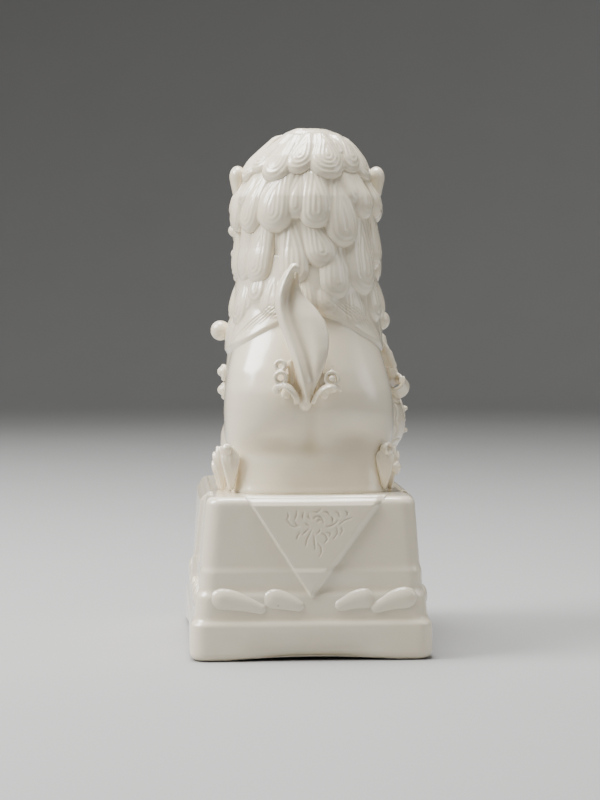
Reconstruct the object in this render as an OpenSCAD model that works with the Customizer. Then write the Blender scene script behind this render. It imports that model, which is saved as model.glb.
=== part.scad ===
// Seated guardian lion of glazed white porcelain on a tall plinth draped with a cloth.
// The lion faces -Y, its right side is -X, and the plinth stands on z = 0.
// Each piece is moulded or rolled by itself, cut to fit the pieces before it and luted to them.

/* [Plinth] */
// Height of the plinth
plinth_h = 91; // [76:1:120]
// Width of the plinth's top, side to side
top_w = 118; // [110:1:145]
// Depth of the plinth's top, front to back
top_d = 156; // [146:1:190]
// Width of the waist under the upper block
waist_w = 127; // [119:1:154]
// Extra width of the foot slab beyond the waist
slab_out = 10; // [6:1:16]
// Height of the foot slab
slab_h = 22; // [16:1:27]
// Height of the lotus band above the slab
band_h = 17; // [12:1:21]
// Height of the plain waist
waist_h = 12; // [6:1:15]
// Thickness of the cast wall
wall = 5; // [3:0.5:7]
// Radius of the upright corners
corner_r = 7; // [5:0.5:10]
// Rise of the shallow arch under each side
arch_h = 2.2; // [1:0.2:4]
// Span of the arch under the front and the back
arch_w = 96; // [60:2:100]
// Radius of the throat that joins the plinth's hollow to the lion's
throat_r = 20; // [12:1:23]

/* [Cloth and lotus] */
// Width of the cloth corner on the front and the back
cloth_w = 84; // [50:1:96]
// Width of the cloth corner on each side
cloth_side_w = 112; // [60:1:132]
// How far the cloth stands out of the block
cloth_t = 2.6; // [1.5:0.1:3.5]
// Height of the cloth's lowest point above the foot slab
cloth_clear = 12; // [4:1:18]
// How far a lotus petal stands out of its band
petal_out = 2.6; // [1.6:0.2:4]

/* [Lion] */
// Height of the lion above the plinth
lion_h = 213; // [174:1:250]
// Width of the lion over the haunches
lion_w = 98; // [82:1:104]
// Depth of the lion from the chest to the rump
lion_d = 122; // [102:1:132]
// Radius of the brocade ball under the right paw
ball_r = 27.5; // [23:0.5:33]
// Radius of the foreleg at the wrist
leg_r = 11; // [9:0.5:13]
// Radius of an eyeball
eye_r = 7; // [5.5:0.5:8.5]
// Radius of the bell on the chest
bell_r = 8; // [6.5:0.5:10]
// Radius of the knob behind each shoulder
knob_r = 6.2; // [5:0.2:7.6]
// Outer radius of the ribbon's loop
loop_r = 7.5; // [6:0.25:9]
// Thickness of the rolled ribbon
ribbon_t = 2; // [1.5:0.25:3]
// Radius of the cord of clay that a snail curl is rolled from
curl_t = 1.9; // [1.5:0.1:2.3]

/* [Hidden] */
// The lion's proportions are written in millimetres at its nominal size, from the plinth's top.
nominal_size = [98, 122, 213];
grow = [lion_w / nominal_size[0], lion_d / nominal_size[1], lion_h / nominal_size[2]];
slab_w = waist_w + slab_out;
extra_d = top_d - top_w;
// The foot of the lotus band stands in from the slab by the ledge, half on each side.
slab_ledge = 5;
band_out = slab_out - slab_ledge;
block_z = slab_h + band_h + waist_h;
block_h = plinth_h - block_z;
lean = atan((waist_w - top_w) / 2 / block_h);
face_rear = top_d / 2;
face_side = top_w / 2;
throat_y = 14;
thin = 0.01;
// Gap under the ball, the clearance of the seats cut for it, and the width and overlap of its coil rest.
ball_lift = 9;
ball_clear = 0.25;
rest_w = 10;
rest_bite = 0.8;
// How far the right paw's sole sinks over the top of the ball.
paw_sink = 3.5;
loop_long = 13;
ball_at = [-40 * grow[0], -44 * grow[1], plinth_h + ball_lift + ball_r];
stud_r = 1.8;
form_fn = 16;
lock_fn = 8;
clay = [0.93, 0.91, 0.85];
clay_deep = [0.88, 0.85, 0.76];

// A place on the lion from its nominal millimetres.
function at(p) = [p[0] * grow[0], p[1] * grow[1], plinth_h + p[2] * grow[2]];
function heading(turn, rise) = [sin(turn) * cos(rise), cos(turn) * cos(rise), sin(rise)];

// ---- shared shapes ----

// The first shape cut to fit the others, so that it meets them face to face.
module luted() {
    difference() {
        children(0);
        children([1 : $children - 1]);
    }
}

// A soft lump of clay with its centre and half sizes in nominal millimetres.
module lump(p, r, fn = form_fn) {
    hull() translate(at(p)) scale([r[0] * grow[0], r[1] * grow[1], r[2] * grow[2]]) sphere(1, $fn = fn);
}

// A lump drawn out from one place and size to another.
module drawn(p, r, q, s, fn = form_fn) {
    hull() {
        lump(p, r, fn);
        lump(q, s, fn);
    }
}

// A roll of clay through several places, each [x, y, z, radius]; its thickness keeps its own size.
module rolled(path, fn = lock_fn) {
    for (i = [0 : len(path) - 2])
        hull()
            for (p = [path[i], path[i + 1]])
                translate(at(p)) sphere(p[3], $fn = fn);
}

// A snail curl lying against a surface that faces the heading: a rolled ring with a button in it.
module snail(p, r, turn, rise = 0) {
    translate(at(p)) rotate([0, 0, -turn]) rotate([rise - 90, 0, 0]) {
        rotate_extrude($fn = 14) translate([r - curl_t, 0]) circle(curl_t, $fn = 6);
        sphere(r - curl_t, $fn = lock_fn);
    }
}

// ---- plinth ----

module rounded(w, d, r) {
    square([w - 2 * r, d], center = true);
    square([w, d - 2 * r], center = true);
    for (x = [-1, 1], y = [-1, 1])
        translate([x * (w / 2 - r), y * (d / 2 - r)]) circle(r, $fn = 32);
}

// One level of the plinth at a width; its depth follows the width.
module level(w, z, h, r = corner_r) {
    translate([0, 0, z]) linear_extrude(h) rounded(w, w + extra_d, r);
}

module tapered(w_low, w_high, z, h) {
    hull() {
        level(w_low, z, thin);
        level(w_high, z + h - thin, thin);
    }
}

module plinth_form() {
    level(slab_w, 0, slab_h);
    tapered(waist_w + band_out, waist_w, slab_h - thin, band_h + thin);
    level(waist_w, slab_h + band_h - thin, waist_h + 2 * thin);
    tapered(waist_w, top_w, block_z, block_h);
}

// A round-bottomed cut along the Y axis under the slab.
module arch(span) {
    r = (span * span / 4 + arch_h * arch_h) / (2 * arch_h);
    translate([0, 0, arch_h - r]) rotate([90, 0, 0])
        cylinder(h = slab_w + top_d, r = r, center = true, $fn = 180);
}

module plinth() {
    inner_r = corner_r - wall / 2;
    color(clay) difference() {
        plinth_form();
        level(slab_w - 2 * wall, -1, 1 + slab_h - wall, inner_r);
        level(waist_w - 2 * wall, slab_h - wall - thin, band_h + waist_h + thin, inner_r);
        level(top_w - 2 * wall, block_z - wall - thin, block_h + thin, inner_r);
        translate([0, throat_y, plinth_h - wall - 1]) cylinder(h = wall + 2, r = throat_r, $fn = 96);
        arch(arch_w);
        rotate(90) arch(arch_w + extra_d);
    }
}

// The hanging corner of the cloth on the face at +Y, which stands a distance from the middle.
module cloth_form(w, face) {
    drop = (plinth_h - slab_h - cloth_clear) / cos(lean);
    fold = 6;
    translate([0, face, plinth_h]) rotate([lean, 0, 0]) rotate([90, 0, 180])
        translate([0, 0, -wall / 2]) linear_extrude(wall / 2 + cloth_t)
            polygon([[-w / 2, 0], [-w / 2 + fold, -fold], [-fold / 2, 2 - drop], [0, -drop],
                [fold / 2, 2 - drop], [w / 2 - fold, -fold], [w / 2, 0]]);
}

// The turn takes the piece from the rear face round to its own.
module cloth_corner(w, face, turn = 0) {
    color(clay) luted() {
        rotate(turn) cloth_form(w, face);
        plinth_form();
        translate([0, 0, plinth_h]) cylinder(h = wall, r = top_d);
    }
}

// Lotus petals along the band on the face at +Y: cloud scrolls that lean from the corners to the middle.
module petals(length, face, pairs) {
    pitch = (length / 2 - corner_r) / (pairs + 0.4);
    r = band_h * 0.42;
    z = slab_h + band_h * 0.55;
    y = face + band_out / 4 + petal_out - r;
    for (side = [-1, 1], i = [1 : pairs]) {
        x = side * pitch * i;
        hull() {
            translate([x + side * pitch * 0.15, y, z]) sphere(r, $fn = 10);
            translate([x - side * pitch * 0.25, y, z]) sphere(r, $fn = 10);
            translate([x - side * pitch * 0.6, y + band_out / 8, slab_h + r * 0.5]) sphere(r * 0.5, $fn = 10);
        }
    }
}

module lotus_end(turn = 0) {
    color(clay) luted() {
        rotate(turn) petals(waist_w, (waist_w + extra_d) / 2, 2);
        plinth_form();
        rotate(turn) cloth_form(cloth_w, face_rear);
    }
}

module lotus_side(turn) {
    color(clay) luted() {
        rotate(turn) petals(waist_w + extra_d, waist_w / 2, 3);
        plinth_form();
        rotate(turn) cloth_form(cloth_side_w, face_side);
    }
}

// ---- brocade ball ----

module ball_form(clear = 0) {
    translate(ball_at) sphere(ball_r + clear, $fn = 36);
}

// The seat that a neighbour of the ball is cut to: the cutting facets stay just outside the round ball.
module ball_seat() {
    ball_form(ball_clear);
}

// Height above the plinth of the ball's underside, at a distance out from its middle.
function ball_under(out) = ball_lift + ball_r - sqrt(ball_r * ball_r - out * out);

// The small studs that stand on the ball's rosettes, in four rings; the side against the body has none.
module studs_form() {
    count = 6;
    pitch = 360 / count;
    body_side = 100;
    for (rise = [-42, -14, 14, 42], i = [0 : count - 1]) {
        turn = (i + (abs(rise) < 20 ? 0.5 : 0)) * pitch;
        if (turn > body_side)
            translate(ball_at + heading(turn, rise) * ball_r) sphere(stud_r, $fn = 6);
    }
}

// The ribbon coiled under the ball, which holds it off the plinth.
module rest_form() {
    inside = ball_r * 0.5 - rest_w / 2;
    outside = inside + rest_w;
    translate([ball_at[0], ball_at[1], plinth_h]) rotate_extrude($fn = 48)
        polygon([[inside, 0], [outside, 0], [outside, ball_lift * 0.6],
            [outside - rest_w * 0.2, ball_under(outside) + rest_bite], [inside, ball_under(inside) + rest_bite]]);
}

module brocade_ball() {
    color(clay_deep) ball_form();
}

module ball_studs() {
    color(clay_deep) luted() {
        studs_form();
        ball_form();
        body_form();
        loop_filled();
    }
}

module ball_rest() {
    color(clay) luted() {
        rest_form();
        ball_form();
    }
}

// ---- lion: the forms that the pieces are cut from ----

module body_form() {
    intersection() {
        union() {
            drawn([0, 26, 58], [43, 34, 26], [0, 4, 96], [42, 38, 32]);
            drawn([0, 4, 96], [43, 38, 30], [0, 2, 134], [37, 34, 22]);
            for (side = [-1, 1]) {
                drawn([side * 26, 26, 44], [23, 40, 24], [side * 23, 28, 36], [25, 40, 25]);
                drawn([side * 26, 20, 6], [22.5, 42, 12], [side * 24, 18, 34], [22, 36, 14]);
                drawn([side * 18, -28, 92], [20, 18, 24], [side * 20, -32, 72], [15, 14, 20]);
                drawn([side * 35, -2, 8], [12, 14, 10], [side * 32, 10, 26], [16, 20, 20]);
                drawn([side * 34, -16, 60], [11.5, 14, 13], [side * 28, -8, 78], [14, 16, 14], 14);
            }
            drawn([0, 22, 4], [45, 36, 8], [0, 27, 42], [44, 34, 22]);
            lump([0, 46, 50], [32, 21, 21]);
        }
        translate([-lion_w, -lion_d, plinth_h]) cube([2 * lion_w, 2 * lion_d, 2 * lion_h]);
    }
}

// The space inside the casting, from the throat up through the body into the head.
module hollow() {
    hull() {
        translate([0, throat_y, plinth_h - 1]) cylinder(h = 2, r = throat_r, $fn = 32);
        lump([0, 25, 40], [36, 24, 24], 14);
    }
    drawn([0, 25, 40], [36, 24, 24], [0, 4, 98], [32, 24, 18], 14);
    drawn([0, 4, 98], [32, 24, 18], [0, 0, 130], [26, 23, 10], 14);
    drawn([0, 0, 130], [26, 23, 10], [0, -6, 172], [28, 26, 24], 14);
}

module head_form() {
    drawn([0, -6, 170], [38, 37, 36], [0, -10, 150], [37, 35, 28]);
    drawn([0, -28, 163], [30, 24, 18], [0, -42, 158], [24, 19, 12]);
    for (side = [-1, 1]) {
        lump([side * 12, -51, 155], [13, 12, 9], 16);
        lump([side * 23, -32, 146], [14, 15, 13], 16);
        lump([side * 16, -38, 176], [14, 10, 9], 16);
    }
}

module mouth() {
    hull() {
        lump([0, -30, 142], [16, 8, 5], 14);
        lump([0, -64, 142], [20, 10, 7.5], 14);
    }
}

module jaw_form() {
    drawn([0, -34, 132], [22, 14, 9], [0, -50, 131.5], [16, 10, 5.5], 16);
}

module tongue_form() {
    rolled([[0, -32, 139, 5.5], [0, -46, 139.5, 6.5], [0, -57, 143, 5]], 12);
}

// A row of teeth round the mouth, with a longer fang at each side; up is 1 for the lower row.
module teeth_form(y, z, up) {
    fang = 3;
    for (side = [-1, 1], i = [1 : 4])
        hull() {
            translate(at([side * (i * 4.4 - 2), y + (i - 1) * (i - 1) * 1.3, z])) sphere(2.2, $fn = 6);
            translate(at([side * (i * 4.4 - 2), y + (i - 1) * (i - 1) * 1.3, z + up * (i == fang ? 6 : 2.2)]))
                sphere(i == fang ? 0.8 : 1.6, $fn = 6);
        }
}

module nose_form() {
    hull() {
        lump([-6, -60, 165], [6, 6, 5], 14);
        lump([6, -60, 165], [6, 6, 5], 14);
        lump([0, -57, 169.5], [6.4, 7, 4.6], 14);
    }
}

module eye_form(side) {
    translate(at([side * 15.5, -47, 172])) sphere(eye_r, $fn = 18);
}

module brow_form(side) {
    rolled([[side * 6, -49, 182, 3.4], [side * 14, -47, 185.5, 4.4], [side * 23, -42, 184, 4.2],
        [side * 29, -36, 178, 3]]);
}

// A paw with four toes, its sole on z = 0 and its toes towards -Y.
module paw(w, l, h) {
    hull() {
        translate([0, 0, h * 0.5]) scale([w * 0.4, l * 0.34, h * 0.5]) sphere(1, $fn = 12);
        translate([0, -l * 0.3, h * 0.36]) scale([w * 0.43, l * 0.24, h * 0.36]) sphere(1, $fn = 12);
    }
    for (i = [-1.5 : 1 : 1.5])
        hull() {
            translate([i * w * 0.24, -l * 0.22, h * 0.5]) sphere(h * 0.26, $fn = lock_fn);
            translate([i * w * 0.255, -l * 0.56 + abs(i) * 1.6, h * 0.28]) sphere(h * 0.28, $fn = lock_fn);
        }
}

// The left forepaw stands on the plinth, and the right one rests on top of the ball.
module forepaw_form(side) {
    if (side > 0)
        translate(at([26, -50, 0])) paw(29, 32, 17);
    else
        translate(ball_at + [0, -6, ball_r - paw_sink]) rotate([14, 0, 4]) paw(27, 30, 15);
}

module foreleg_form(side) {
    shoulder = side * 27;
    if (side > 0)
        hull() {
            lump([shoulder, -34, 84], [14, 14, 16]);
            translate(at([shoulder, -48, 12])) sphere(leg_r, $fn = 18);
        }
    else
        hull() {
            lump([shoulder, -32, 88], [14, 14, 14]);
            translate(ball_at + [2, -2, ball_r + leg_r * 0.6]) sphere(leg_r, $fn = 18);
        }
}

module hind_paw_form(side) {
    translate(at([side * 38, -4, 0])) rotate(side * 6) paw(24, 30, 15);
}

// ---- mane ----

// Top height, bottom height, half spread and number of locks; then half width, half depth and middle of
// the ring of the locks' roots and of their tips, and the thickness of a lock.
mane_rows = [
    [210, 178, 112, 9, [19, 18, -8], [36, 36, -6], 5.4],
    [182, 154, 98, 8, [36, 34, -6], [40, 38, -5], 5.6],
    [158, 129, 112, 9, [37, 36, -4], [38.5, 38, -2], 5.4],
    [134, 96, 98, 8, [37, 36, 0], [39.5, 41, 2], 5]];

module mane_form(i) {
    row = mane_rows[i];
    if (i == 0)
        lump([0, -8, 190], [29, 27, 21], 12);
    for (k = [0 : row[3] - 1]) {
        turn = row[2] * (2 * k / (row[3] - 1) - 1);
        root = [row[4][0] * sin(turn), row[4][2] + row[4][1] * cos(turn), row[0]];
        tip = [row[5][0] * sin(turn), row[5][2] + row[5][1] * cos(turn), row[1] + row[6]];
        hull() {
            translate(at(root)) sphere(row[6] * 0.55, $fn = lock_fn);
            translate(at(tip)) rotate([0, 0, -turn]) scale([1.9, 0.8, 1]) sphere(row[6], $fn = lock_fn);
        }
    }
}

module ear_form(side) {
    drawn([side * 36, -13, 174], [6, 6, 8], [side * 41, -10, 181], [5.5, 6, 8], 14);
}

// The column of snail curls that frames the face on one side.
module ruff_form(side) {
    for (i = [0 : 4])
        snail([side * (37 - abs(i - 2) * 1.5), -27 + abs(i - 1.6) * 1.2, 180 - i * 14], 7.6, side * 62);
}

module beard_form() {
    for (i = [-2 : 2])
        rolled([[i * 7, -38, 130, 5], [i * 7.4, -47 + abs(i) * 2, 119, 5], [i * 7, -50 + abs(i) * 3, 110, 3.4]]);
}

module collar_form() {
    roll = 3.4;
    for (side = [-1, 1])
        rolled([[0, -49, 97, roll], [side * 14, -48, 101, roll], [side * 28, -41, 107, roll],
            [side * 39, -27, 113, roll]]);
}

module bell_form() {
    loop = 2.6;
    translate(at([0, -52, 96]) + [0, -2, -bell_r - loop]) {
        sphere(bell_r, $fn = 14);
        translate([0, 0, bell_r]) rotate([0, 90, 0])
            rotate_extrude($fn = 14) translate([loop, 0]) circle(1.2, $fn = 8);
    }
}

// The applied ball on its short neck behind each shoulder.
module knob_form(side) {
    height = side > 0 ? 92 : 98;
    rolled([[side * 40, -12, height, knob_r * 0.7], [side * 44, -12, height, knob_r * 0.7]]);
    translate(at([side * 43, -12, height]) + [side * knob_r, 0, 0]) sphere(knob_r, $fn = 14);
}

module elbow_form() {
    for (i = [0, 1])
        snail([45, -22 + i, 67 - i * 11], 6.2, 80);
}

// Stands the loop beside the ball, with its open end up and to the rear.
module loop_place() {
    translate(at([-60, -31, 58.5])) rotate([0, 38, 0]) rotate([-55, 0, 0]) children();
}

// The rolled end of the ribbon: a short open tube.
module loop_form() {
    loop_place() difference() {
        cylinder(h = loop_long, r = loop_r, center = true, $fn = 40);
        cylinder(h = loop_long + 2, r = loop_r - ribbon_t, center = true, $fn = 40);
    }
}

module loop_filled() {
    loop_place() cylinder(h = loop_long, r = loop_r, center = true, $fn = 40);
}

// The ribbon comes down from the collar over the right shoulder to its loop.
module ribbon_form() {
    rolled([[-41, -24, 100, 3.6], [-44, -27, 89, 4.4], [-49, -29, 78, 4.6], [-54, -30, 68, 4.6]], 12);
}

// ---- tail and sprigs ----

module tail_form() {
    stations = [[3, 60, 49, 4, 5], [2, 64, 63, 7, 5], [1, 63, 76, 9.5, 5], [2, 60, 89, 11, 5],
        [6, 56, 101, 11, 4.6], [10.5, 53.5, 111, 9, 4.2], [11, 52, 121, 6, 3.8], [8.5, 52, 129, 2.4, 2.4]];
    for (i = [0 : len(stations) - 2])
        hull()
            for (s = [stations[i], stations[i + 1]])
                translate(at(s)) scale([s[3], s[4], s[4]]) sphere(1, $fn = 14);
}

module tail_curls_form(side) {
    if (side > 0)
        snail([17, 59, 74], 4.2, 20, 10);
    snail([side > 0 ? 17 : -12, 61, 66], 4.8, side * 20, 10);
    rolled([[side * 8, 65, 52, 2.6], [side * 14, 65, 58, 3.2], [side * 20, 62, 57, 3.4], [side * 19, 64, 53, 2.6]]);
}

module hock_tufts_form(side) {
    rolled([[side * 46, 46, 8, 3.4], [side * 45, 50, 20, 4.2], [side * 44, 48, 24, 2]]);
    rolled([[side * 49, 37, 5, 3.4], [side * 51, 38, 20, 4.2], [side * 48, 36, 29, 2.6]]);
    rolled([[side * 49, 25, 4, 3], [side * 51, 27, 14, 4], [side * 48, 26, 20, 2]]);
}

// ---- pieces of the lion, each cut to fit the ones it was luted to ----

module body() {
    color(clay) luted() {
        body_form();
        hollow();
        ball_seat();
        rest_form();
    }
}

module head() {
    color(clay) luted() {
        head_form();
        body_form();
        hollow();
        mouth();
    }
}

module lower_jaw() {
    color(clay) luted() {
        jaw_form();
        head_form();
        body_form();
        mouth();
    }
}

module tongue() {
    color(clay_deep) luted() {
        tongue_form();
        luted() {
            head_form();
            mouth();
        }
        luted() {
            jaw_form();
            mouth();
        }
        body_form();
    }
}

module teeth(y, z, up) {
    color(clay) luted() {
        teeth_form(y, z, up);
        luted() {
            head_form();
            mouth();
        }
        luted() {
            jaw_form();
            mouth();
        }
        tongue_form();
    }
}

module nose() {
    color(clay) luted() {
        nose_form();
        head_form();
    }
}

module eye(side) {
    color(clay) luted() {
        eye_form(side);
        head_form();
        nose_form();
    }
}

module brow(side) {
    color(clay) luted() {
        brow_form(side);
        head_form();
        eye_form(side);
    }
}

module forepaw(side) {
    color(clay) luted() {
        forepaw_form(side);
        body_form();
        ball_seat();
        rest_form();
    }
}

module foreleg(side) {
    color(clay) luted() {
        foreleg_form(side);
        body_form();
        forepaw_form(side);
        ball_seat();
        head_form();
        jaw_form();
    }
}

module hind_paw(side) {
    color(clay) luted() {
        hind_paw_form(side);
        body_form();
        ball_seat();
        rest_form();
        forepaw_form(1);
        foreleg_form(1);
    }
}

module mane(i) {
    color(clay) luted() {
        mane_form(i);
        head_form();
        body_form();
        for (k = [0 : 1 : i - 1])
            mane_form(k);
        brow_form(1);
        brow_form(-1);
        foreleg_form(1);
        foreleg_form(-1);
    }
}

module all_mane() {
    for (i = [0 : len(mane_rows) - 1])
        mane_form(i);
}

module ear(side) {
    color(clay) luted() {
        ear_form(side);
        head_form();
        all_mane();
    }
}

module ruff(side) {
    color(clay) luted() {
        ruff_form(side);
        head_form();
        body_form();
        all_mane();
        ear_form(side);
        brow_form(side);
        jaw_form();
    }
}

module beard() {
    color(clay) luted() {
        beard_form();
        jaw_form();
        head_form();
        body_form();
        ruff_form(1);
        ruff_form(-1);
        foreleg_form(1);
        foreleg_form(-1);
    }
}

module collar() {
    color(clay) luted() {
        collar_form();
        body_form();
        all_mane();
        beard_form();
        foreleg_form(1);
        foreleg_form(-1);
        ruff_form(1);
        ruff_form(-1);
    }
}

module bell() {
    color(clay) luted() {
        bell_form();
        body_form();
        collar_form();
        beard_form();
        foreleg_form(1);
        foreleg_form(-1);
    }
}

module shoulder_knob(side) {
    color(clay) luted() {
        knob_form(side);
        body_form();
        all_mane();
        foreleg_form(side);
        collar_form();
    }
}

module elbow_curls() {
    color(clay) luted() {
        elbow_form();
        body_form();
        foreleg_form(1);
    }
}

module ribbon_loop() {
    color(clay) luted() {
        loop_form();
        ball_seat();
        body_form();
        foreleg_form(-1);
        forepaw_form(-1);
    }
}

module ribbon() {
    color(clay) luted() {
        ribbon_form();
        body_form();
        all_mane();
        foreleg_form(-1);
        collar_form();
        knob_form(-1);
        loop_filled();
        ball_seat();
    }
}

module tail() {
    color(clay) luted() {
        tail_form();
        body_form();
        all_mane();
    }
}

module tail_curls(side) {
    color(clay) luted() {
        tail_curls_form(side);
        body_form();
        tail_form();
    }
}

module hock_tufts(side) {
    color(clay) luted() {
        hock_tufts_form(side);
        body_form();
        plinth_form();
    }
}

plinth();
cloth_corner(cloth_w, face_rear);  // cloth_corner_rear
cloth_corner(cloth_w, face_rear, 180);  // cloth_corner_front
cloth_corner(cloth_side_w, face_side, -90);  // cloth_corner_left
cloth_corner(cloth_side_w, face_side, 90);  // cloth_corner_right
lotus_end();  // lotus_rear
lotus_end(180);  // lotus_front
lotus_side(-90);  // lotus_left
lotus_side(90);  // lotus_right
ball_rest();
brocade_ball();
ball_studs();
body();
head();
lower_jaw();
tongue();
teeth(-60, 149, -1);  // upper_teeth
teeth(-56, 136, 1);  // lower_teeth
nose();
eye(1);  // eye_left
eye(-1);  // eye_right
brow(1);  // brow_left
brow(-1);  // brow_right
forepaw(1);  // forepaw_left
forepaw(-1);  // forepaw_right
foreleg(1);  // foreleg_left
foreleg(-1);  // foreleg_right
hind_paw(1);  // hind_paw_left
hind_paw(-1);  // hind_paw_right
mane(0);  // mane_crown
mane(1);  // mane_upper
mane(2);  // mane_middle
mane(3);  // mane_lower
ear(1);  // ear_left
ear(-1);  // ear_right
ruff(1);  // ruff_left
ruff(-1);  // ruff_right
beard();
collar();
bell();
shoulder_knob(1);  // shoulder_knob_left
shoulder_knob(-1);  // shoulder_knob_right
elbow_curls();
ribbon_loop();
ribbon();
tail();
tail_curls(1);  // tail_curls_left
tail_curls(-1);  // tail_curls_right
hock_tufts(1);  // hock_tufts_left
hock_tufts(-1);  // hock_tufts_right
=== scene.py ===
import math
import random

import bpy
import numpy as np
from mathutils import Matrix, Vector
from mathutils.bvhtree import BVHTree


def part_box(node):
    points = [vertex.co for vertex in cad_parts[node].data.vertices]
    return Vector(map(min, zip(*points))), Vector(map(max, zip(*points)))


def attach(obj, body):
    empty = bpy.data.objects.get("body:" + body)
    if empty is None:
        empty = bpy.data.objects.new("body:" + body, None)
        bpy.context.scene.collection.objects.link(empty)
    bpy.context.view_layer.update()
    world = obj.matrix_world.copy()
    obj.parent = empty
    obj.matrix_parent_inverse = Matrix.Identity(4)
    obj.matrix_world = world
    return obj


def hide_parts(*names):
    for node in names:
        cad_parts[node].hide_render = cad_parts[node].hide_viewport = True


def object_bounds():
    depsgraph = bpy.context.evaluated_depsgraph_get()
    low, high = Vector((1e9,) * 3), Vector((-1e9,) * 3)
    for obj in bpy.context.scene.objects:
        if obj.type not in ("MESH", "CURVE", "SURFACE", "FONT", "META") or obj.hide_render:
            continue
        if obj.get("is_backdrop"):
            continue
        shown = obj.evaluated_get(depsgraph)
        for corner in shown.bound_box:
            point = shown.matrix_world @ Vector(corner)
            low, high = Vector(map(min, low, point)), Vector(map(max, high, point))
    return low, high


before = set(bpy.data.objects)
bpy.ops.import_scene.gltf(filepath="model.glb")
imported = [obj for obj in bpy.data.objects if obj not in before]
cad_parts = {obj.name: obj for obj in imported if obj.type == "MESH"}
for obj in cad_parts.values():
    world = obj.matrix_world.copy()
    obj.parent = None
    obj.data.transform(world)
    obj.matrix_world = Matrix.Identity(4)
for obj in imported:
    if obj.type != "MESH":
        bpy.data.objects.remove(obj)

# Guardian lion in ivory glazed porcelain, facing -Y. Sizes are in millimetres from the
# middle of the plinth's top unless a line says otherwise.
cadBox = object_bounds()
mm = 0.001
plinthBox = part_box("plinth")
topZ = plinthBox[1][2]
random.seed(11)


def at(x, y, z):
    return Vector((x * mm, y * mm, topZ + z * mm))


def pick(*objs):
    bpy.ops.object.select_all(action="DESELECT")
    for obj in objs:
        obj.select_set(True)
    bpy.context.view_layer.objects.active = objs[0]


def settle(obj):
    pick(obj)
    bpy.ops.object.transform_apply(location=True, rotation=True, scale=True)
    return obj


def lump(x, y, z, rx, ry=None, rz=None, turn=(0, 0, 0)):
    # an egg of clay pressed on at a place
    bpy.ops.object.select_all(action="DESELECT")
    bpy.ops.mesh.primitive_uv_sphere_add(
        segments=36, ring_count=24, radius=1, location=at(x, y, z),
        rotation=[math.radians(a) for a in turn],
        scale=(rx * mm, (ry or rx) * mm, (rz or rx) * mm))
    return bpy.context.object


def roll(points, ends=True):
    # clay rolled between the fingers through [x, y, z, radius] places, with rounded ends
    bpy.ops.object.select_all(action="DESELECT")
    bpy.ops.curve.primitive_nurbs_path_add(location=(0, 0, 0))
    rope = bpy.context.object
    shape = rope.data
    shape.splines.clear()
    spline = shape.splines.new("NURBS")
    spline.points.add(len(points) - 1)
    for knot, (x, y, z, r) in zip(spline.points, points):
        knot.co = (*at(x, y, z), 1)
        knot.radius = r
    spline.use_endpoint_u = True
    spline.order_u = 3
    spline.resolution_u = 8
    shape.dimensions = "3D"
    shape.bevel_depth = mm
    shape.bevel_resolution = 5
    shape.use_fill_caps = True
    bpy.ops.object.convert(target="MESH")
    rope = bpy.context.object
    if not ends:
        return [rope]
    return [rope] + [lump(p[0], p[1], p[2], p[3]) for p in (points[0], points[-1])]


def fromGrid(name, rows, closed=False):
    # a skin over rows of places, all the same length, in metres
    tall, wide = len(rows), len(rows[0])
    verts = [p for row in rows for p in row]
    faces = []
    for i in range(tall - 1):
        for j in range(wide if closed else wide - 1):
            k = (j + 1) % wide
            faces.append((i * wide + j, i * wide + k, (i + 1) * wide + k, (i + 1) * wide + j))
    mesh = bpy.data.meshes.new(name)
    mesh.from_pydata(verts, [], faces)
    obj = bpy.data.objects.new(name, mesh)
    bpy.context.scene.collection.objects.link(obj)
    return obj


def useModifier(obj, kind, **settings):
    pick(obj)
    mod = obj.modifiers.new(kind.title(), kind)
    for key, value in settings.items():
        setattr(mod, key, value)
    bpy.ops.object.modifier_apply(modifier=mod.name)


def flatten(parts):
    out = []
    for part in parts:
        out.extend(flatten(part) if isinstance(part, (list, tuple)) else [part])
    return out


def fuse(name, parts, voxel, relax=4, factor=0.5):
    # joins pressed-on clay into one skin and softens it as the glaze does
    parts = flatten(parts)
    pick(*parts)
    bpy.ops.object.join()
    piece = settle(bpy.context.object)
    piece.name = piece.data.name = name
    useModifier(piece, "REMESH", mode="VOXEL", voxel_size=voxel * mm)
    if relax:
        useModifier(piece, "SMOOTH", factor=factor, iterations=relax)
    return piece


def readVerts(mesh, what="co"):
    flat = np.empty(len(mesh.vertices) * 3)
    mesh.vertices.foreach_get(what, flat)
    return flat.reshape(-1, 3)


def sculpt(piece, push):
    # push gets places and normals, and returns how far each point moves along its normal, or which way
    mesh = piece.data
    co, normals = readVerts(mesh), readVerts(mesh, "normal")
    places = (co - [0, 0, topZ]) / mm
    move = push(places, normals)
    if move.ndim == 1:
        move = normals * move[:, None]
    mesh.vertices.foreach_set("co", (co + move * mm).ravel())
    mesh.update()


def soft(value, low, high):
    t = np.clip((value - low) / (high - low), 0, 1)
    return t * t * (3 - 2 * t)


def markHollows(piece, rounds=14):
    # how deep each point lies below its surroundings, for the glaze pooling and painted shade in hollows and
    # the painted highlight on crests
    mesh = piece.data
    co, normals = readVerts(mesh), readVerts(mesh, "normal")
    ends = np.empty(len(mesh.edges) * 2, dtype=np.int64)
    mesh.edges.foreach_get("vertices", ends)
    a, b = ends[0::2], ends[1::2]
    count = len(co)
    links = np.maximum(np.bincount(a, minlength=count) + np.bincount(b, minlength=count), 1)
    eased = co.copy()
    for _ in range(rounds):
        eased = np.stack([(np.bincount(a, eased[b, i], count) + np.bincount(b, eased[a, i], count)) / links
                          for i in range(3)], axis=1)
    depth = ((eased - co) * normals).sum(axis=1) / mm
    layer = mesh.attributes.new("hollow", "FLOAT", "POINT")
    layer.data.foreach_set("value", np.clip(depth, -1.5, 1.5))


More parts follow.
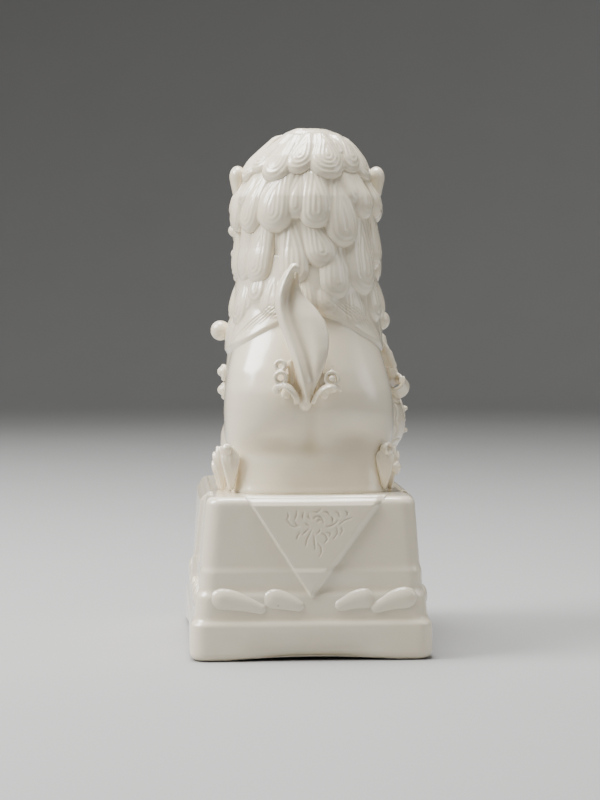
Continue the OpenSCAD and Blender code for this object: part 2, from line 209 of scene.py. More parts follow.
def finishPiece(piece, *nodes, rounds=14):
    piece.data.materials.clear()
    piece.data.materials.append(glaze)
    pick(piece)
    bpy.ops.object.shade_smooth()
    markHollows(piece, rounds)
    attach(piece, "root")
    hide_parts(*nodes)
    faces = sum(len(p.vertices) - 2 for p in piece.data.polygons)
    print(f"{piece.name}: {faces} triangles")
    return piece


# ---- glaze ----

class Wire:
    # a socket that adds Math nodes when it is used in a sum
    def __init__(self, tree, socket):
        self.tree, self.socket = tree, socket

    def math(self, how, *others):
        node = self.tree.nodes.new("ShaderNodeMath")
        node.operation = how
        for slot, value in zip(node.inputs, (self, *others)):
            if isinstance(value, Wire):
                self.tree.links.new(value.socket, slot)
            else:
                slot.default_value = value
        return Wire(self.tree, node.outputs[0])

    def __add__(self, other):
        return self.math("ADD", other)

    def __mul__(self, other):
        return self.math("MULTIPLY", other)

    def __sub__(self, other):
        return self.math("SUBTRACT", other)

    def __rsub__(self, other):
        return self.math("MULTIPLY", -1).math("ADD", other)

    __radd__ = __add__
    __rmul__ = __mul__

    def clamp(self, low, high):
        return self.math("MAXIMUM", low).math("MINIMUM", high)


def addNode(tree, kind, settings=None, stops=None, out=0, **values):
    node = tree.nodes.new(kind)
    for key, value in (settings or {}).items():
        setattr(node, key, value)
    if stops:
        ramp = node.color_ramp.elements
        for stop, (place, colour) in zip([ramp[0], ramp[1]] + [ramp.new(0.5) for _ in stops[2:]], stops):
            stop.position, stop.color = place, colour
    for key, value in values.items():
        numbered = key[0] == "i" and key[1:].isdigit()
        slot = node.inputs[int(key[1:]) if numbered else key.replace("_", " ")]
        if isinstance(value, Wire):
            tree.links.new(value.socket, slot)
        else:
            slot.default_value = value
    return Wire(tree, node.outputs[out])


def paint(tree, amount, first, second, how="MIX"):
    # lays the second colour over the first
    return addNode(tree, "ShaderNodeMix", {"data_type": "RGBA", "blend_type": how}, out=2,
                   i0=amount, i6=first, i7=second)


glazeLook = {
    "ivory": (0.86, 0.765, 0.585, 1), "warm": (0.66, 0.53, 0.32, 1), "cool": (0.88, 0.81, 0.67, 1),
    "bare": (0.74, 0.69, 0.60, 1), "speck": (0.24, 0.17, 0.10, 1),
    "rough": 0.24, "coatRough": 0.13, "pinhole": 260, "ripple": 0.00022,
}


def makeGlaze(name="ivoryGlaze"):
    look = glazeLook
    mat = bpy.data.materials.new(name)
    mat.use_nodes = True
    tree = mat.node_tree
    shader = tree.nodes["Principled BSDF"]
    place = addNode(tree, "ShaderNodeTexCoord", out=3)
    drift = addNode(tree, "ShaderNodeTexNoise", Vector=place, Scale=16, Detail=3, Roughness=0.5)
    cloud = addNode(tree, "ShaderNodeTexNoise", Vector=place, Scale=55, Detail=4, Roughness=0.6)
    hollow = addNode(tree, "ShaderNodeAttribute", {"attribute_name": "hollow"}, out=2)
    height = addNode(tree, "ShaderNodeSeparateXYZ", Vector=place, out=2)
    # hollows get glaze pooling and painted shade; crests get a painted highlight
    pooledGlazeAndShade = (hollow * 1.5).clamp(0, 1)
    crestHighlight = (hollow * -1.1).clamp(0, 1)
    dots = addNode(tree, "ShaderNodeTexVoronoi", {"feature": "F1"}, Vector=place, Scale=look["pinhole"])
    seldom = addNode(tree, "ShaderNodeTexVoronoi", {"feature": "F1"}, Vector=place, Scale=look["pinhole"],
                     out=1)
    seldomValue = addNode(tree, "ShaderNodeSeparateColor", Color=seldom)
    pin = ((0.16 - dots).math("MULTIPLY", 12).clamp(0, 1)
           * (seldomValue - 0.992).math("MULTIPLY", 200).clamp(0, 1))
    bare = (0.0011 - height).math("MULTIPLY", 1500).clamp(0, 1)
    colour = paint(tree, (drift - 0.35) * 1.4, look["ivory"], look["cool"])
    colour = paint(tree, (cloud - 0.5).clamp(0, 1) * 0.35, colour, look["warm"])
    # warmer, darker colour in hollows: partly glaze pooling, partly painted shade where recesses lie in shade
    colour = paint(tree, pooledGlazeAndShade * 0.62, colour, look["warm"])
    # paler colour on crests and ridges: painted highlight
    colour = paint(tree, crestHighlight * 0.25, colour, look["cool"])
    colour = paint(tree, pin * 0.75, colour, look["speck"])
    colour = paint(tree, bare, colour, look["bare"])
    tree.links.new(colour.socket, shader.inputs["Base Color"])
    rough = (cloud * 0.07 + (look["rough"] - 0.035) + pin * 0.3).math("MAXIMUM", bare * 0.62)
    tree.links.new(rough.socket, shader.inputs["Roughness"])
    tree.links.new(((1 - bare) * 0.8).socket, shader.inputs["Coat Weight"])
    ripple = addNode(tree, "ShaderNodeTexNoise", Vector=place, Scale=120, Detail=2, Roughness=0.5)
    grain = addNode(tree, "ShaderNodeTexNoise", Vector=place, Scale=900, Detail=2, Roughness=0.6)
    relief = ripple * 1.0 + drift * 1.6 - pin * 1.2 + grain * bare * 0.5
    bump = addNode(tree, "ShaderNodeBump", Height=relief, Distance=look["ripple"], Strength=0.5)
    tree.links.new(bump.socket, shader.inputs["Normal"])
    shader.inputs["Coat Roughness"].default_value = look["coatRough"]
    shader.inputs["Coat IOR"].default_value = 1.5
    shader.inputs["IOR"].default_value = 1.5
    shader.inputs["Subsurface Weight"].default_value = 0.12
    shader.inputs["Subsurface Radius"].default_value = (1.0, 0.8, 0.55)
    shader.inputs["Subsurface Scale"].default_value = 0.0025
    return mat


glaze = makeGlaze()

# ---- camera, floor and light ----

viewFrom = {"side": 176, "height": 203, "away": 1250, "lens": 94.5, "aim": (1.1, 0, 141.7)}
angle = math.radians(viewFrom["side"])
eye = Vector((viewFrom["away"] * math.sin(angle), -viewFrom["away"] * math.cos(angle),
              viewFrom["height"])) * mm
aim = Vector(viewFrom["aim"]) * mm
bpy.ops.object.camera_add(location=eye, rotation=(aim - eye).to_track_quat("-Z", "Y").to_euler())
camera = bpy.context.object
camera.data.lens = viewFrom["lens"]
camera.data.sensor_width = 36
camera.data.clip_start = 0.05
bpy.context.scene.camera = camera

coveLook = {"flat": 2.6, "curve": 1.3, "wall": 1.0}
turns = np.linspace(0, 2 * math.pi, 96, endpoint=False)
coveRings = [(r, 0) for r in np.linspace(0.05, coveLook["flat"], 12)]
coveRings += [(coveLook["flat"] + coveLook["curve"] * math.sin(a), coveLook["curve"] * (1 - math.cos(a)))
              for a in np.linspace(0.08, math.pi / 2, 18)]
coveRings.append((coveLook["flat"] + coveLook["curve"], coveLook["curve"] + coveLook["wall"]))
floor = fromGrid("paleCove", [[(r * math.cos(t), r * math.sin(t), cadBox[0][2] + z) for t in turns] for r,
                              z in coveRings],
                 closed=True)
pick(floor)
bpy.ops.object.mode_set(mode="EDIT")
bpy.ops.mesh.select_all(action="DESELECT")
bpy.ops.mesh.select_mode(type="VERT")
bpy.ops.object.mode_set(mode="OBJECT")
for vert in floor.data.vertices[:len(turns)]:
    vert.select = True
bpy.ops.object.mode_set(mode="EDIT")
bpy.ops.mesh.edge_face_add()
bpy.ops.object.mode_set(mode="OBJECT")
bpy.ops.object.shade_smooth()
floorMat = bpy.data.materials.new("palePaper")
floorMat.use_nodes = True
floorTree = floorMat.node_tree
floorPlace = addNode(floorTree, "ShaderNodeTexCoord", out=3)
mottle = addNode(floorTree, "ShaderNodeTexNoise", Vector=floorPlace, Scale=7, Detail=3)
floorTree.links.new(paint(floorTree, mottle * 0.5, (0.37, 0.37, 0.365, 1), (0.41, 0.41, 0.405, 1)).socket,
                    floorTree.nodes["Principled BSDF"].inputs["Base Color"])
floorTree.nodes["Principled BSDF"].inputs["Roughness"].default_value = 0.75
floor.data.materials.append(floorMat)
floor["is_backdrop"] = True

# name, where it hangs, how big, how strong; each looks at the middle of the lion
lamps = [
    ("keyBox", (1.25, 0.14, 1.3), (0.8, 0.8), 50),
    ("fillBox", (-1.3, 0.4, 0.8), (0.6, 0.8), 3.5),
    ("frontBox", (0.6, -1.4, 1.0), (1.0, 0.9), 4.5),
    ("topBox", (0.1, -0.12, 1.5), (0.8, 0.8), 42),
]
for name, place, size, power in lamps:
    look = (Vector((0, 0, 0.17)) - Vector(place)).to_track_quat("-Z", "Y").to_euler()
    bpy.ops.object.light_add(type="AREA", location=place, rotation=look)
    lamp = bpy.context.object
    lamp.name = name
    lamp.data.shape = "RECTANGLE"
    lamp.data.size, lamp.data.size_y = size
    lamp.data.energy = power
world = bpy.data.worlds.new("studio")
bpy.context.scene.world = world
world.use_nodes = True
world.node_tree.nodes["Background"].inputs["Color"].default_value = (0.80, 0.79, 0.77, 1)
world.node_tree.nodes["Background"].inputs["Strength"].default_value = 0.12
print("stage set")

# ---- plinth ----

plinthLook = {
    "topW": 118, "waistW": 127, "slabW": 137, "deeper": 38, "slabH": 22, "bandH": 17, "waistH": 12,
    "wall": 5, "archH": 2.2, "archSpan": 96, "scoop": 3.4, "voxel": 0.95,
}


def plinthSize(z):
    # half width at a height above the floor, with the soft ledges of the moulding
    p = plinthLook
    steps = [(0, p["slabW"]), (p["slabH"] - 1.5, p["slabW"] - 0.6), (p["slabH"] + 1, p["waistW"] + 5),
             (p["slabH"] + p["bandH"] - 3, p["waistW"] + 2.6), (p["slabH"] + p["bandH"], p["waistW"] - 0.6),
             (p["slabH"] + p["bandH"] + 1.5, p["waistW"] - 0.8),
             (p["slabH"] + p["bandH"] + p["waistH"] - 1.5, p["waistW"] - 1.4),
             (p["slabH"] + p["bandH"] + p["waistH"] + 0.8, p["waistW"] - 3.2), (topZ / mm, p["topW"])]
    zs, ws = zip(*steps)
    return float(np.interp(z, zs, ws)) / 2


def roundedRing(half, deeper, radius, z, count=12):
    ring = []
    for cx, cy, start in ((1, 1, 0), (-1, 1, 90), (-1, -1, 180), (1, -1, 270)):
        for k in range(count + 1):
            a = math.radians(start + 90 * k / count)
            ring.append(((cx * (half - radius) + radius * math.cos(a)) * mm,
                         (cy * (half + deeper / 2 - radius) + radius * math.sin(a)) * mm, z * mm))
    return ring


def makePlinth():
    p = plinthLook
    height = topZ / mm
    edge = 4.2
    levels = [(4 - 4 * math.cos(math.radians(a)), 4 * (1 - math.sin(math.radians(a)))) for a in range(20,
                                                                                                      91, 14)]
    levels = [(0, 3.0)] + levels + [(z, 0) for z in np.arange(5, height - edge, 1.0)]
    levels += [(height - edge + edge * math.sin(math.radians(a)), edge * (1 - math.cos(math.radians(a))))
               for a in range(0, 91, 10)]
    rings = [roundedRing(plinthSize(z) - inset, p["deeper"], 9 - inset * 0.5, z) for z, inset in levels]
    shell = fromGrid("plinthShell", rings, closed=True)
    pick(shell)
    bpy.ops.object.mode_set(mode="EDIT")
    bpy.ops.mesh.select_all(action="SELECT")
    bpy.ops.mesh.region_to_loop()
    bpy.ops.mesh.edge_face_add()
    bpy.ops.mesh.select_all(action="SELECT")
    bpy.ops.mesh.normals_make_consistent(inside=False)
    bpy.ops.object.mode_set(mode="OBJECT")
    inner = []
    for low, high, wide in ((-4, p["slabH"] - p["wall"], p["slabW"]),
                            (p["slabH"] - p["wall"] - 1, p["slabH"] + p["bandH"] + p["waistH"] - p["wall"],
                             p["waistW"]),
                            (p["slabH"] + p["bandH"], height - p["wall"], p["topW"])):
        half = wide / 2 - p["wall"]
        bpy.ops.object.select_all(action="DESELECT")
        bpy.ops.mesh.primitive_cube_add(size=1, location=(0, 0, (low + high) / 2 * mm),
                                        scale=(2 * half * mm, (2 * half + p["deeper"]) * mm,
                                               (high - low) * mm))
        core = settle(bpy.context.object)
        useModifier(core, "BEVEL", width=4 * mm, segments=4)
        inner.append(core)
    for core in inner:
        useModifier(shell, "BOOLEAN", operation="DIFFERENCE", object=core, solver="EXACT")
        bpy.data.objects.remove(core)
    piece = fuse("plinthCasting", [shell], p["voxel"], relax=5)

    def archAndScoop(place, normal):
        x, y, z = place[:, 0], place[:, 1], place[:, 2] + topZ / mm
        move = np.zeros_like(place)
        onEnd = np.abs(y) > p["slabW"] / 2 + p["deeper"] / 2 - 9
        onSide = np.abs(x) > p["slabW"] / 2 - 9
        low = 1 - soft(z, 2, 17)
        endSpan = np.clip(1 - (x / (p["archSpan"] / 2)) ** 2, 0, 1)
        sideSpan = np.clip(1 - (y / ((p["archSpan"] + p["deeper"]) / 2)) ** 2, 0, 1)
        move[:, 2] += np.where(onEnd, endSpan, 0) * p["archH"] * (1 - soft(z, 0, 14))
        move[:, 2] += np.where(onSide & ~onEnd, sideSpan, 0) * p["archH"] * (1 - soft(z, 0, 14))
        outer = np.abs(y) > p["slabW"] / 2 + p["deeper"] / 2 - 2.5
        move[:, 1] -= np.where(outer, soft(endSpan, 0.3, 1.0), 0) * np.sign(y) * p["scoop"] * low
        outer = np.abs(x) > p["slabW"] / 2 - 2.5
        move[:, 0] -= np.where(outer, soft(sideSpan, 0.3, 1.0), 0) * np.sign(x) * p["scoop"] * low
        return move

    sculpt(piece, archAndScoop)
    useModifier(piece, "SMOOTH", factor=0.5, iterations=4)
    return finishPiece(piece, "plinth")


makePlinth()


def capEnds(obj):
    pick(obj)
    bpy.ops.object.mode_set(mode="EDIT")
    bpy.ops.mesh.select_all(action="SELECT")
    bpy.ops.mesh.fill_holes(sides=0)
    bpy.ops.mesh.select_all(action="SELECT")
    bpy.ops.mesh.normals_make_consistent(inside=False)
    bpy.ops.object.mode_set(mode="OBJECT")
    return obj


# ---- cloth ----

clothLook = {
    "tipZ": 35, "rise": 2.3, "halfEnd": (36, 41), "halfSide": (50, 50), "softEdge": (1.6, 4.2), "lip": 4.2,
    "incise": 0.75, "line": 0.42, "flower": (-3.5, 77.5),
}

# the flower's incised strokes, in millimetres from its middle, across and up
flowerStrokes = [
    [(-2.4, 1.9), (-1.5, 3.1), (0.6, 3.3), (2.2, 1.9), (3.1, -0.8)], [(-0.3, 0.2), (0.5, 1.5), (1.5, 0.6)],
    [(4.8, -2.7), (7.3, -2.1), (9.4, -0.9), (11, 0.7)], [(12.3, -1.2), (14.6, 0.9), (19, 2.3)],
    [(10, 5.7), (11.5, 4.9), (12.1, 3.0)], [(15.4, 6.1), (16.7, 4.9), (16.3, 3.6)],
    [(3.6, 5.8), (5.2, 5.4), (6.5, 3.6)],
    [(10.3, -3.3), (10.7, -5.2), (10.5, -7), (8.8, -9.1)], [(5.2, -5.8), (7, -6.4), (6.6, -7.8)],
    [(2.1, -6.3), (4, -7.3), (5.2, -9.6), (3.6, -11.6)], [(-2.4, -7.9), (-2.1, -11.2), (-1.7, -15.2)],
    [(0, -12.1), (1.5, -14.2), (1.7, -16.7), (0.6, -19.1)], [(-0.6, -6.4), (0.7, -5.1), (0.9, -4.2)],
    [(-3.9, -4.8), (-5.2, -7.3), (-6.4, -10), (-7, -13)], [(-5.2, -3.6), (-7, -5.2), (-8.5, -6.7)],
    [(-10.2, -5.8), (-11.5, -7.6), (-12.1, -9.4)], [(-16, -1.2), (-13.9, -2.4), (-11.2, -2.4)],
    [(-13.3, 0.3), (-12.1, -1.5), (-10.6, -2.1)], [(-17.6, 1.5), (-16.7, 0), (-15.5, -1.5)],
    [(-11.8, 6.1), (-12.1, 4.2), (-13, 1.5)], [(-8.2, 5.5), (-8.8, 3.3), (-8.5, 1.8)],
    [(-7, -0.9), (-5.2, -2.1)],
    [(-2.4, 5.8), (-0.3, 5.5), (1.5, 7)], [(-17, 5), (-16.6, 3.4), (-17.2, 1.8)],
    [(7.4, 3), (8.4, 1.4), (8.1, 0)],
    [(-5.2, 4.6), (-5.6, 2.8), (-4.2, 1.2)], [(13.2, -3.4), (13.6, -5.2), (12.4, -7.2)],
]


def strokeDepth(u, w, strokes, line, deep):
    # how deep the incised lines cut at each place; a stroke is heavier in its middle
    cut = np.zeros_like(u)
    for stroke in strokes:
        count = len(stroke) - 1
        for i, ((x0, y0), (x1, y1)) in enumerate(zip(stroke, stroke[1:])):
            dx, dy = x1 - x0, y1 - y0
            t = np.clip(((u - x0) * dx + (w - y0) * dy) / (dx * dx + dy * dy), 0, 1)
            gap = np.hypot(u - x0 - t * dx, w - y0 - t * dy)
            heavy = 0.45 + 0.55 * np.sin(np.pi * np.clip((i + t) / count, 0.06, 0.94))
            cut = np.maximum(cut, deep * heavy * np.exp(-(gap / line) ** 2))
    return cut


def makeCloth(name, node, half, turn, flower):
    look = clothLook
    height = topZ / mm
    # the plinth's own face, followed up and over its rounded edge
    lean = [(z, plinthSize(z)) for z in np.linspace(look["tipZ"], height - look["lip"], 96)]
    lean += [(height - look["lip"] * (1 - math.sin(math.radians(a))),
              plinthSize(height) - look["lip"] * (1 - math.cos(math.radians(a)))) for a in range(6, 91, 6)]
    zs, outs = (np.array(v) for v in zip(*lean))
    share = (zs - look["tipZ"]) / (height - look["tipZ"])
    cols = 150
    across = np.linspace(0, 1, cols)
    left, right = half[0] * share + 1.2, -half[1] * share - 1.2
    x = left[:, None] + (right - left)[:, None] * across[None, :]
    z = np.repeat(zs[:, None], cols, axis=1)
    slope = (height - look["tipZ"])
    fromLeft = (left[:, None] - x) * slope / math.hypot(slope, half[0])
    fromRight = (x - right[:, None]) * slope / math.hypot(slope, half[1])
    edge = soft(fromLeft, 0, look["softEdge"][0]) * soft(fromRight, 0, look["softEdge"][1])
    swell = 0.35 * np.sin(np.pi * across)[None, :]
    rise = edge * (look["rise"] + swell) * (0.35 + 0.65 * soft(height - z, 0, 5))
    if flower:
        u, w = look["flower"][0] - x, z - look["flower"][1]
        rise = rise - strokeDepth(u, w, flowerStrokes, look["line"], look["incise"])
    deeper = plinthLook["deeper"] / 2 if turn in (0, 180) else 0
    outward = (outs + deeper)[:, None] + rise
    inward = (outs + deeper)[:, None] - 1.4 + 0 * rise
    c, s = math.cos(math.radians(turn)), math.sin(math.radians(turn))
    rows = []
    for i in range(len(zs)):
        front = [(x[i, j], outward[i, j]) for j in range(cols)]
        back = [(x[i, j], inward[i, j]) for j in range(cols - 1, -1, -6)]
        lift = max(0.0, zs[i] - height + 1.0) * 1.0
        rows.append([((a * c - b * s) * mm, (a * s + b * c) * mm,
                      (zs[i] + (rise[i].max() * lift if k < cols else -1.2 * lift)) * mm)
                     for k, (a, b) in enumerate(front + back)])
    piece = capEnds(fromGrid(name, rows, closed=True))
    return finishPiece(piece, node, rounds=8)


makeCloth("clothRear", "cloth_corner_rear", clothLook["halfEnd"], 0, True)
makeCloth("clothFront", "cloth_corner_front", clothLook["halfEnd"], 180, True)
makeCloth("clothLeft", "cloth_corner_left", clothLook["halfSide"], -90, False)
makeCloth("clothRight", "cloth_corner_right", clothLook["halfSide"], 90, False)
print("cloth hung")

# ---- lotus petals ----

petalLook = {"z": 33.6, "proud": 1.7, "voxel": 0.55}


def petalPair(side, outer, inner, face, turn):
    # a fat teardrop from the corner and a rounder lobe beside it, both leaning to the middle
    z = petalLook["z"] - topZ / mm
    a, b = outer
    c, d = inner
    y = face + petalLook["proud"]
    parts = []
    for x0, x1, r0, r1, z0, z1 in ((a, b, 7.1, 3.2, z + 0.2, z - 4.6), (c, d, 6.6, 3.6, z + 0.2, z - 3.0)):
        steps = 9
        for i in range(steps + 1):
            t = i / steps
            r = r0 + (r1 - r0) * t ** 1.3
            parts.append(lump(side * (x0 + (x1 - x0) * t), y - r * 0.62, z0 + (z1 - z0) * t ** 1.6, r * 1.1,
                              r * 0.62, r))
    for part in parts:
        part.matrix_world = Matrix.Rotation(math.radians(turn), 4, "Z") @ part.matrix_world
    return parts


def makePetals(name, node, face, turn, leftPair, rightPair, extra=()):
    parts = petalPair(1, *leftPair, face, turn) + petalPair(-1, *rightPair, face, turn)
    for side, x in extra:
        z = petalLook["z"] - topZ / mm
        bead = [lump(side * x, face - 0.6, z, 8, 2.6, 5.6),
                lump(side * (x - 7), face - 0.8, z - 3, 5, 2.2, 3.4)]
        for part in bead:
            part.matrix_world = Matrix.Rotation(math.radians(turn), 4, "Z") @ part.matrix_world
        parts += bead
    piece = fuse(name, parts, petalLook["voxel"], relax=14)
    return finishPiece(piece, node, rounds=10)


endFace = plinthSize(33) + 19
makePetals("petalsRear", "lotus_rear", endFace, 0, ((50, 29), (21, 8)), ((52, 36), (29, 16)))
makePetals("petalsFront", "lotus_front", endFace, 180, ((50, 31), (22, 10)), ((50, 31), (22, 10)))
for name, node, turn in (("petalsLeft", "lotus_left", -90), ("petalsRight", "lotus_right", 90)):
    makePetals(name, node, plinthSize(33), turn, ((68, 50), (40, 27)), ((68, 50), (40, 27)),
               ((1, 16), (-1, 16)))
print("petals pressed")


def stretch(*eggs):
    # one smooth form drawn over several eggs of clay, each (x, y, z, rx, ry, rz)
    pick(*[lump(*egg) for egg in eggs])
    bpy.ops.object.join()
    bpy.ops.object.mode_set(mode="EDIT")
    bpy.ops.mesh.select_all(action="SELECT")
    bpy.ops.mesh.convex_hull()
    bpy.ops.object.mode_set(mode="OBJECT")
    return bpy.context.object


# ---- body ----

# height, middle x, half width, rear y, front y and squareness of the body, from the plinth up
bodyRings = np.array([
    (-3, -2.0, 46.0, 60.4, -18, 3.6), (5, -2.0, 45.8, 59.6, -18, 3.4), (14, -2.2, 46.2, 57.6, -18, 3.1),
    (24, -2.4, 47.8, 56.8, -16, 2.8), (35, -2.5, 49.4, 59.4, -14, 2.6), (47, -2.3, 49.6, 61.4, -14, 2.5),
    (58, -1.9, 48.6, 60.8, -14, 2.4), (70, -1.5, 46.4, 57.0, -15, 2.3), (81, -1.4, 43.6, 51.8, -17, 2.15),
    (93, -1.8, 40.8, 45.6, -20, 2.0), (108, -2.4, 38.0, 39.5, -24, 2.0), (128, -3.0, 35.5, 35, -26, 2.0),
    (150, -3.0, 31.0, 29, -26, 2.0)], dtype=float)
bodyLook = {"voxel": 1.15, "cleft": 1.5, "foot": 1.2, "dimple": 3.0}


def bodyCore():
    # the trunk and haunches as one smooth thrown wall
    turns = np.linspace(0, 2 * np.pi, 150, endpoint=False)
    rows = []
    for z in np.linspace(-3, 150, 90):
        mid, half, rear, front, square = (np.interp(z, bodyRings[:, 0], bodyRings[:, i]) for i in range(1, 6))
        across = np.sign(np.sin(turns)) * np.abs(np.sin(turns)) ** (2 / square)
        deep = np.sign(np.cos(turns)) * np.abs(np.cos(turns)) ** (2 / square)
        rows.append([at(mid + half * u, (rear + front) / 2 + (rear - front) / 2 * v, z) for u,
                     v in zip(across, deep)])
    return capEnds(fromGrid("bodyCore", rows, closed=True))


def makeBody():
    look = bodyLook
    parts = [bodyCore(), stretch((0, 4, 98, 40, 35, 30), (0, 0, 134, 37, 33, 22))]
    for s in (-1, 1):
        parts.append(stretch((s * 18, -26, 92, 20, 18, 24), (s * 20, -30, 72, 15, 14, 20)))
        parts.append(stretch((s * 36, -2, 9, 12, 14, 10), (s * 34, 8, 27, 15, 20, 20)))
        parts.append(stretch((s * 34, -15, 61, 11, 13, 13), (s * 28, -8, 80, 15, 16, 14)))
        parts.append(stretch((s * 27, 2, 90, 16.5, 24, 18), (s * 30, 8, 56, 16.5, 30, 20)))
    piece = fuse("bodyCasting", parts, look["voxel"], relax=22)
    side = plinthBox[1][2]
    pick(piece)
    bpy.ops.object.mode_set(mode="EDIT")
    bpy.ops.mesh.select_all(action="SELECT")
    bpy.ops.mesh.bisect(plane_co=(0, 0, side - 0.0006), plane_no=(0, 0, 1), use_fill=True, clear_inner=True)
    bpy.ops.object.mode_set(mode="OBJECT")

    def shape(p, n):
        x, y, z = p[:, 0], p[:, 1], p[:, 2]
        rear = soft(n[:, 1], 0.2, 0.8) * soft(y, 30, 50)
        cleft = np.exp(-((x + 1.5) / 6) ** 2) * soft(z, 14, 30) * (1 - soft(z, 48, 62))
        broad = np.exp(-((x + 1.5) / 17) ** 2) * soft(z, 14, 34) * (1 - soft(z, 48, 66))
        # the soft hollows under each haunch
        under = (np.exp(-((x - 20) / 17) ** 2 - ((z - 28) / 8.5) ** 2)
                 + np.exp(-((x + 27) / 15) ** 2 - ((z - 33) / 8.5) ** 2)) * look["dimple"]
        flare = (1 - soft(z, 0, 5)) * look["foot"]
        return -rear * (cleft * look["cleft"] + broad * 2.0 + under) + flare * (1 - np.abs(n[:, 2]))

    sculpt(piece, shape)
    useModifier(piece, "SMOOTH", factor=0.5, iterations=8)
    return finishPiece(piece, "body", rounds=20)


makeBody()

# ---- legs and paws ----

legLook = {"voxel": 0.85, "ball": (-40, -44, 36.5), "ballR": 27.3}


def pawParts(x, y, z, wide, long, high, tilt=0):
    # a cushion with four toes towards -Y, each with a small claw
    parts = [lump(x, y + long * 0.1, z + high * 0.48, wide * 0.44, long * 0.38, high * 0.5, (tilt, 0, 0))]
    for i in range(4):
        u = (i - 1.5) * wide * 0.235
        back = abs(i - 1.5) * 1.6
        parts.append(stretch((x + u * 0.8, y - long * 0.05, z + high * 0.55, wide * 0.13, long * 0.2,
                              high * 0.34),
                             (x + u, y - long * 0.3 + back, z + high * 0.36, wide * 0.145, long * 0.17,
                              high * 0.36)))
        parts.append(stretch((x + u, y - long * 0.43 + back, z + high * 0.30, 1.9, 3.4, 2.2),
                             (x + u, y - long * 0.49 + back, z + high * 0.13, 1.0, 1.4, 1.8)))
    return parts


def makeLegs():
    bx, by, bz = legLook["ball"]
    top = bz + legLook["ballR"]
    for name, node, spot in (("forepawLeft", "forepaw_left", (26, -50, 0, 29, 32, 17)),
                             ("forepawRight", "forepaw_right", (bx, by - 6, top - 3.5, 27, 30, 15)),
                             ("hindPawLeft", "hind_paw_left", (38, -4, 0, 23, 29, 15)),
                             ("hindPawRight", "hind_paw_right", (-38, -4, 0, 23, 29, 15))):
        parts = pawParts(*spot)
        if node == "forepaw_right":
            middle = at(bx, by - 6, top)
            for part in flatten(parts):
                part.matrix_world = (Matrix.Translation(middle) @ Matrix.Rotation(math.radians(14), 4, "X")
                                     @ Matrix.Translation(-middle) @ part.matrix_world)
        piece = fuse(name, parts, 0.6, relax=4)
        if spot[2] == 0:
            pick(piece)
            bpy.ops.object.mode_set(mode="EDIT")
            bpy.ops.mesh.select_all(action="SELECT")
            bpy.ops.mesh.bisect(plane_co=(0, 0, topZ - 0.0005), plane_no=(0, 0, 1), use_fill=True,
                                clear_inner=True)
            bpy.ops.object.mode_set(mode="OBJECT")
        finishPiece(piece, node, rounds=10)
    for s, name, node in ((1, "forelegLeft", "foreleg_left"), (-1, "forelegRight", "foreleg_right")):
        if s > 0:
            parts = [stretch((27, -33, 86, 14, 14, 17), (27, -42, 46, 11.5, 12, 14)),
                     stretch((27, -42, 46, 11.5, 12, 14), (27, -47, 14, 10.5, 11, 12))]
        else:
            parts = [stretch((-27, -31, 90, 14, 14, 15), (bx + 3, by, top + 6, 10.5, 11, 11))]
        # a flame of hair down the back of the leg
        for i in range(3):
            z = (72 if s > 0 else 92) - i * 11
            parts.append(roll([(s * 37, -36 - i, z, 2.6), (s * 39.5, -33 - i, z - 5, 2.4),
                               (s * 37, -28 - i, z - 9, 1.2)]))
        piece = fuse(name, parts, legLook["voxel"], relax=5)
        finishPiece(piece, node, rounds=14)
    print("legs stand")


makeLegs()

# ---- mane ----

# height, half width, half depth and middle y of the hair's own surface, from the crown down
maneRings = np.array([
    (212.5, 1, 1, -6), (212.1, 8, 8, -6), (210.3, 13.5, 14, -6.5), (206.4, 19.2, 20.5, -7),
    (200, 25.2, 27, -7),
    (192, 31.4, 32.4, -7), (183, 36.8, 36.4, -6), (170, 40.8, 38.5, -5), (155, 41.6, 38, -3.5),
    (140, 39.6, 38, -2),
    (124, 39.0, 39, 0), (106, 41.0, 40.5, 1.5), (92, 42.4, 41.5, 3), (74, 43.4, 42, 4)], dtype=float)
maneLook = {"shift": -3.0, "voxel": 0.5, "groove": 0.44, "pitch": 2.6, "plump": 1.3, "bury": 2.6,
            "crownLean": 2.4}
maneWay = np.concatenate([[0], np.cumsum(np.hypot(np.diff(maneRings[:, 0]), np.diff(maneRings[:, 1])))])


def maneSkin(turn, way, lift):
    # a place on the hair at a turn in radians (0 at the back, + to the lion's left), a way down and a lift
    z, a, b, c = (np.interp(way, maneWay, maneRings[:, i]) for i in range(4))
    # the crown leans a little to the lion's right
    shift = maneLook["shift"] - maneLook["crownLean"] * soft(z, 184, 202)
    base = np.stack([a * np.sin(turn) + shift, c + b * np.cos(turn), z], axis=-1)
    z2, a2, b2, c2 = (np.interp(way + 1.5, maneWay, maneRings[:, i]) for i in range(4))
    z1, a1, b1, c1 = (np.interp(way - 1.5, maneWay, maneRings[:, i]) for i in range(4))
    down = np.stack([(a2 - a1) * np.sin(turn), (c2 - c1) + (b2 - b1) * np.cos(turn), z2 - z1], axis=-1)
    round_ = np.stack([np.maximum(a, 4) * np.cos(turn), -np.maximum(b, 4) * np.sin(turn), 0 * z], axis=-1)
    normal = np.cross(round_, -down)
    normal /= np.linalg.norm(normal, axis=-1, keepdims=True)
    outside = np.sign((normal * (base - [maneLook["shift"], -4, 120]) * [1, 1, 0.2]).sum(axis=-1,
                                                                                         keepdims=True))
    return base + normal * outside * lift[..., None]


def wayAt(z):
    return float(np.interp(-z, -maneRings[:, 0], maneWay))


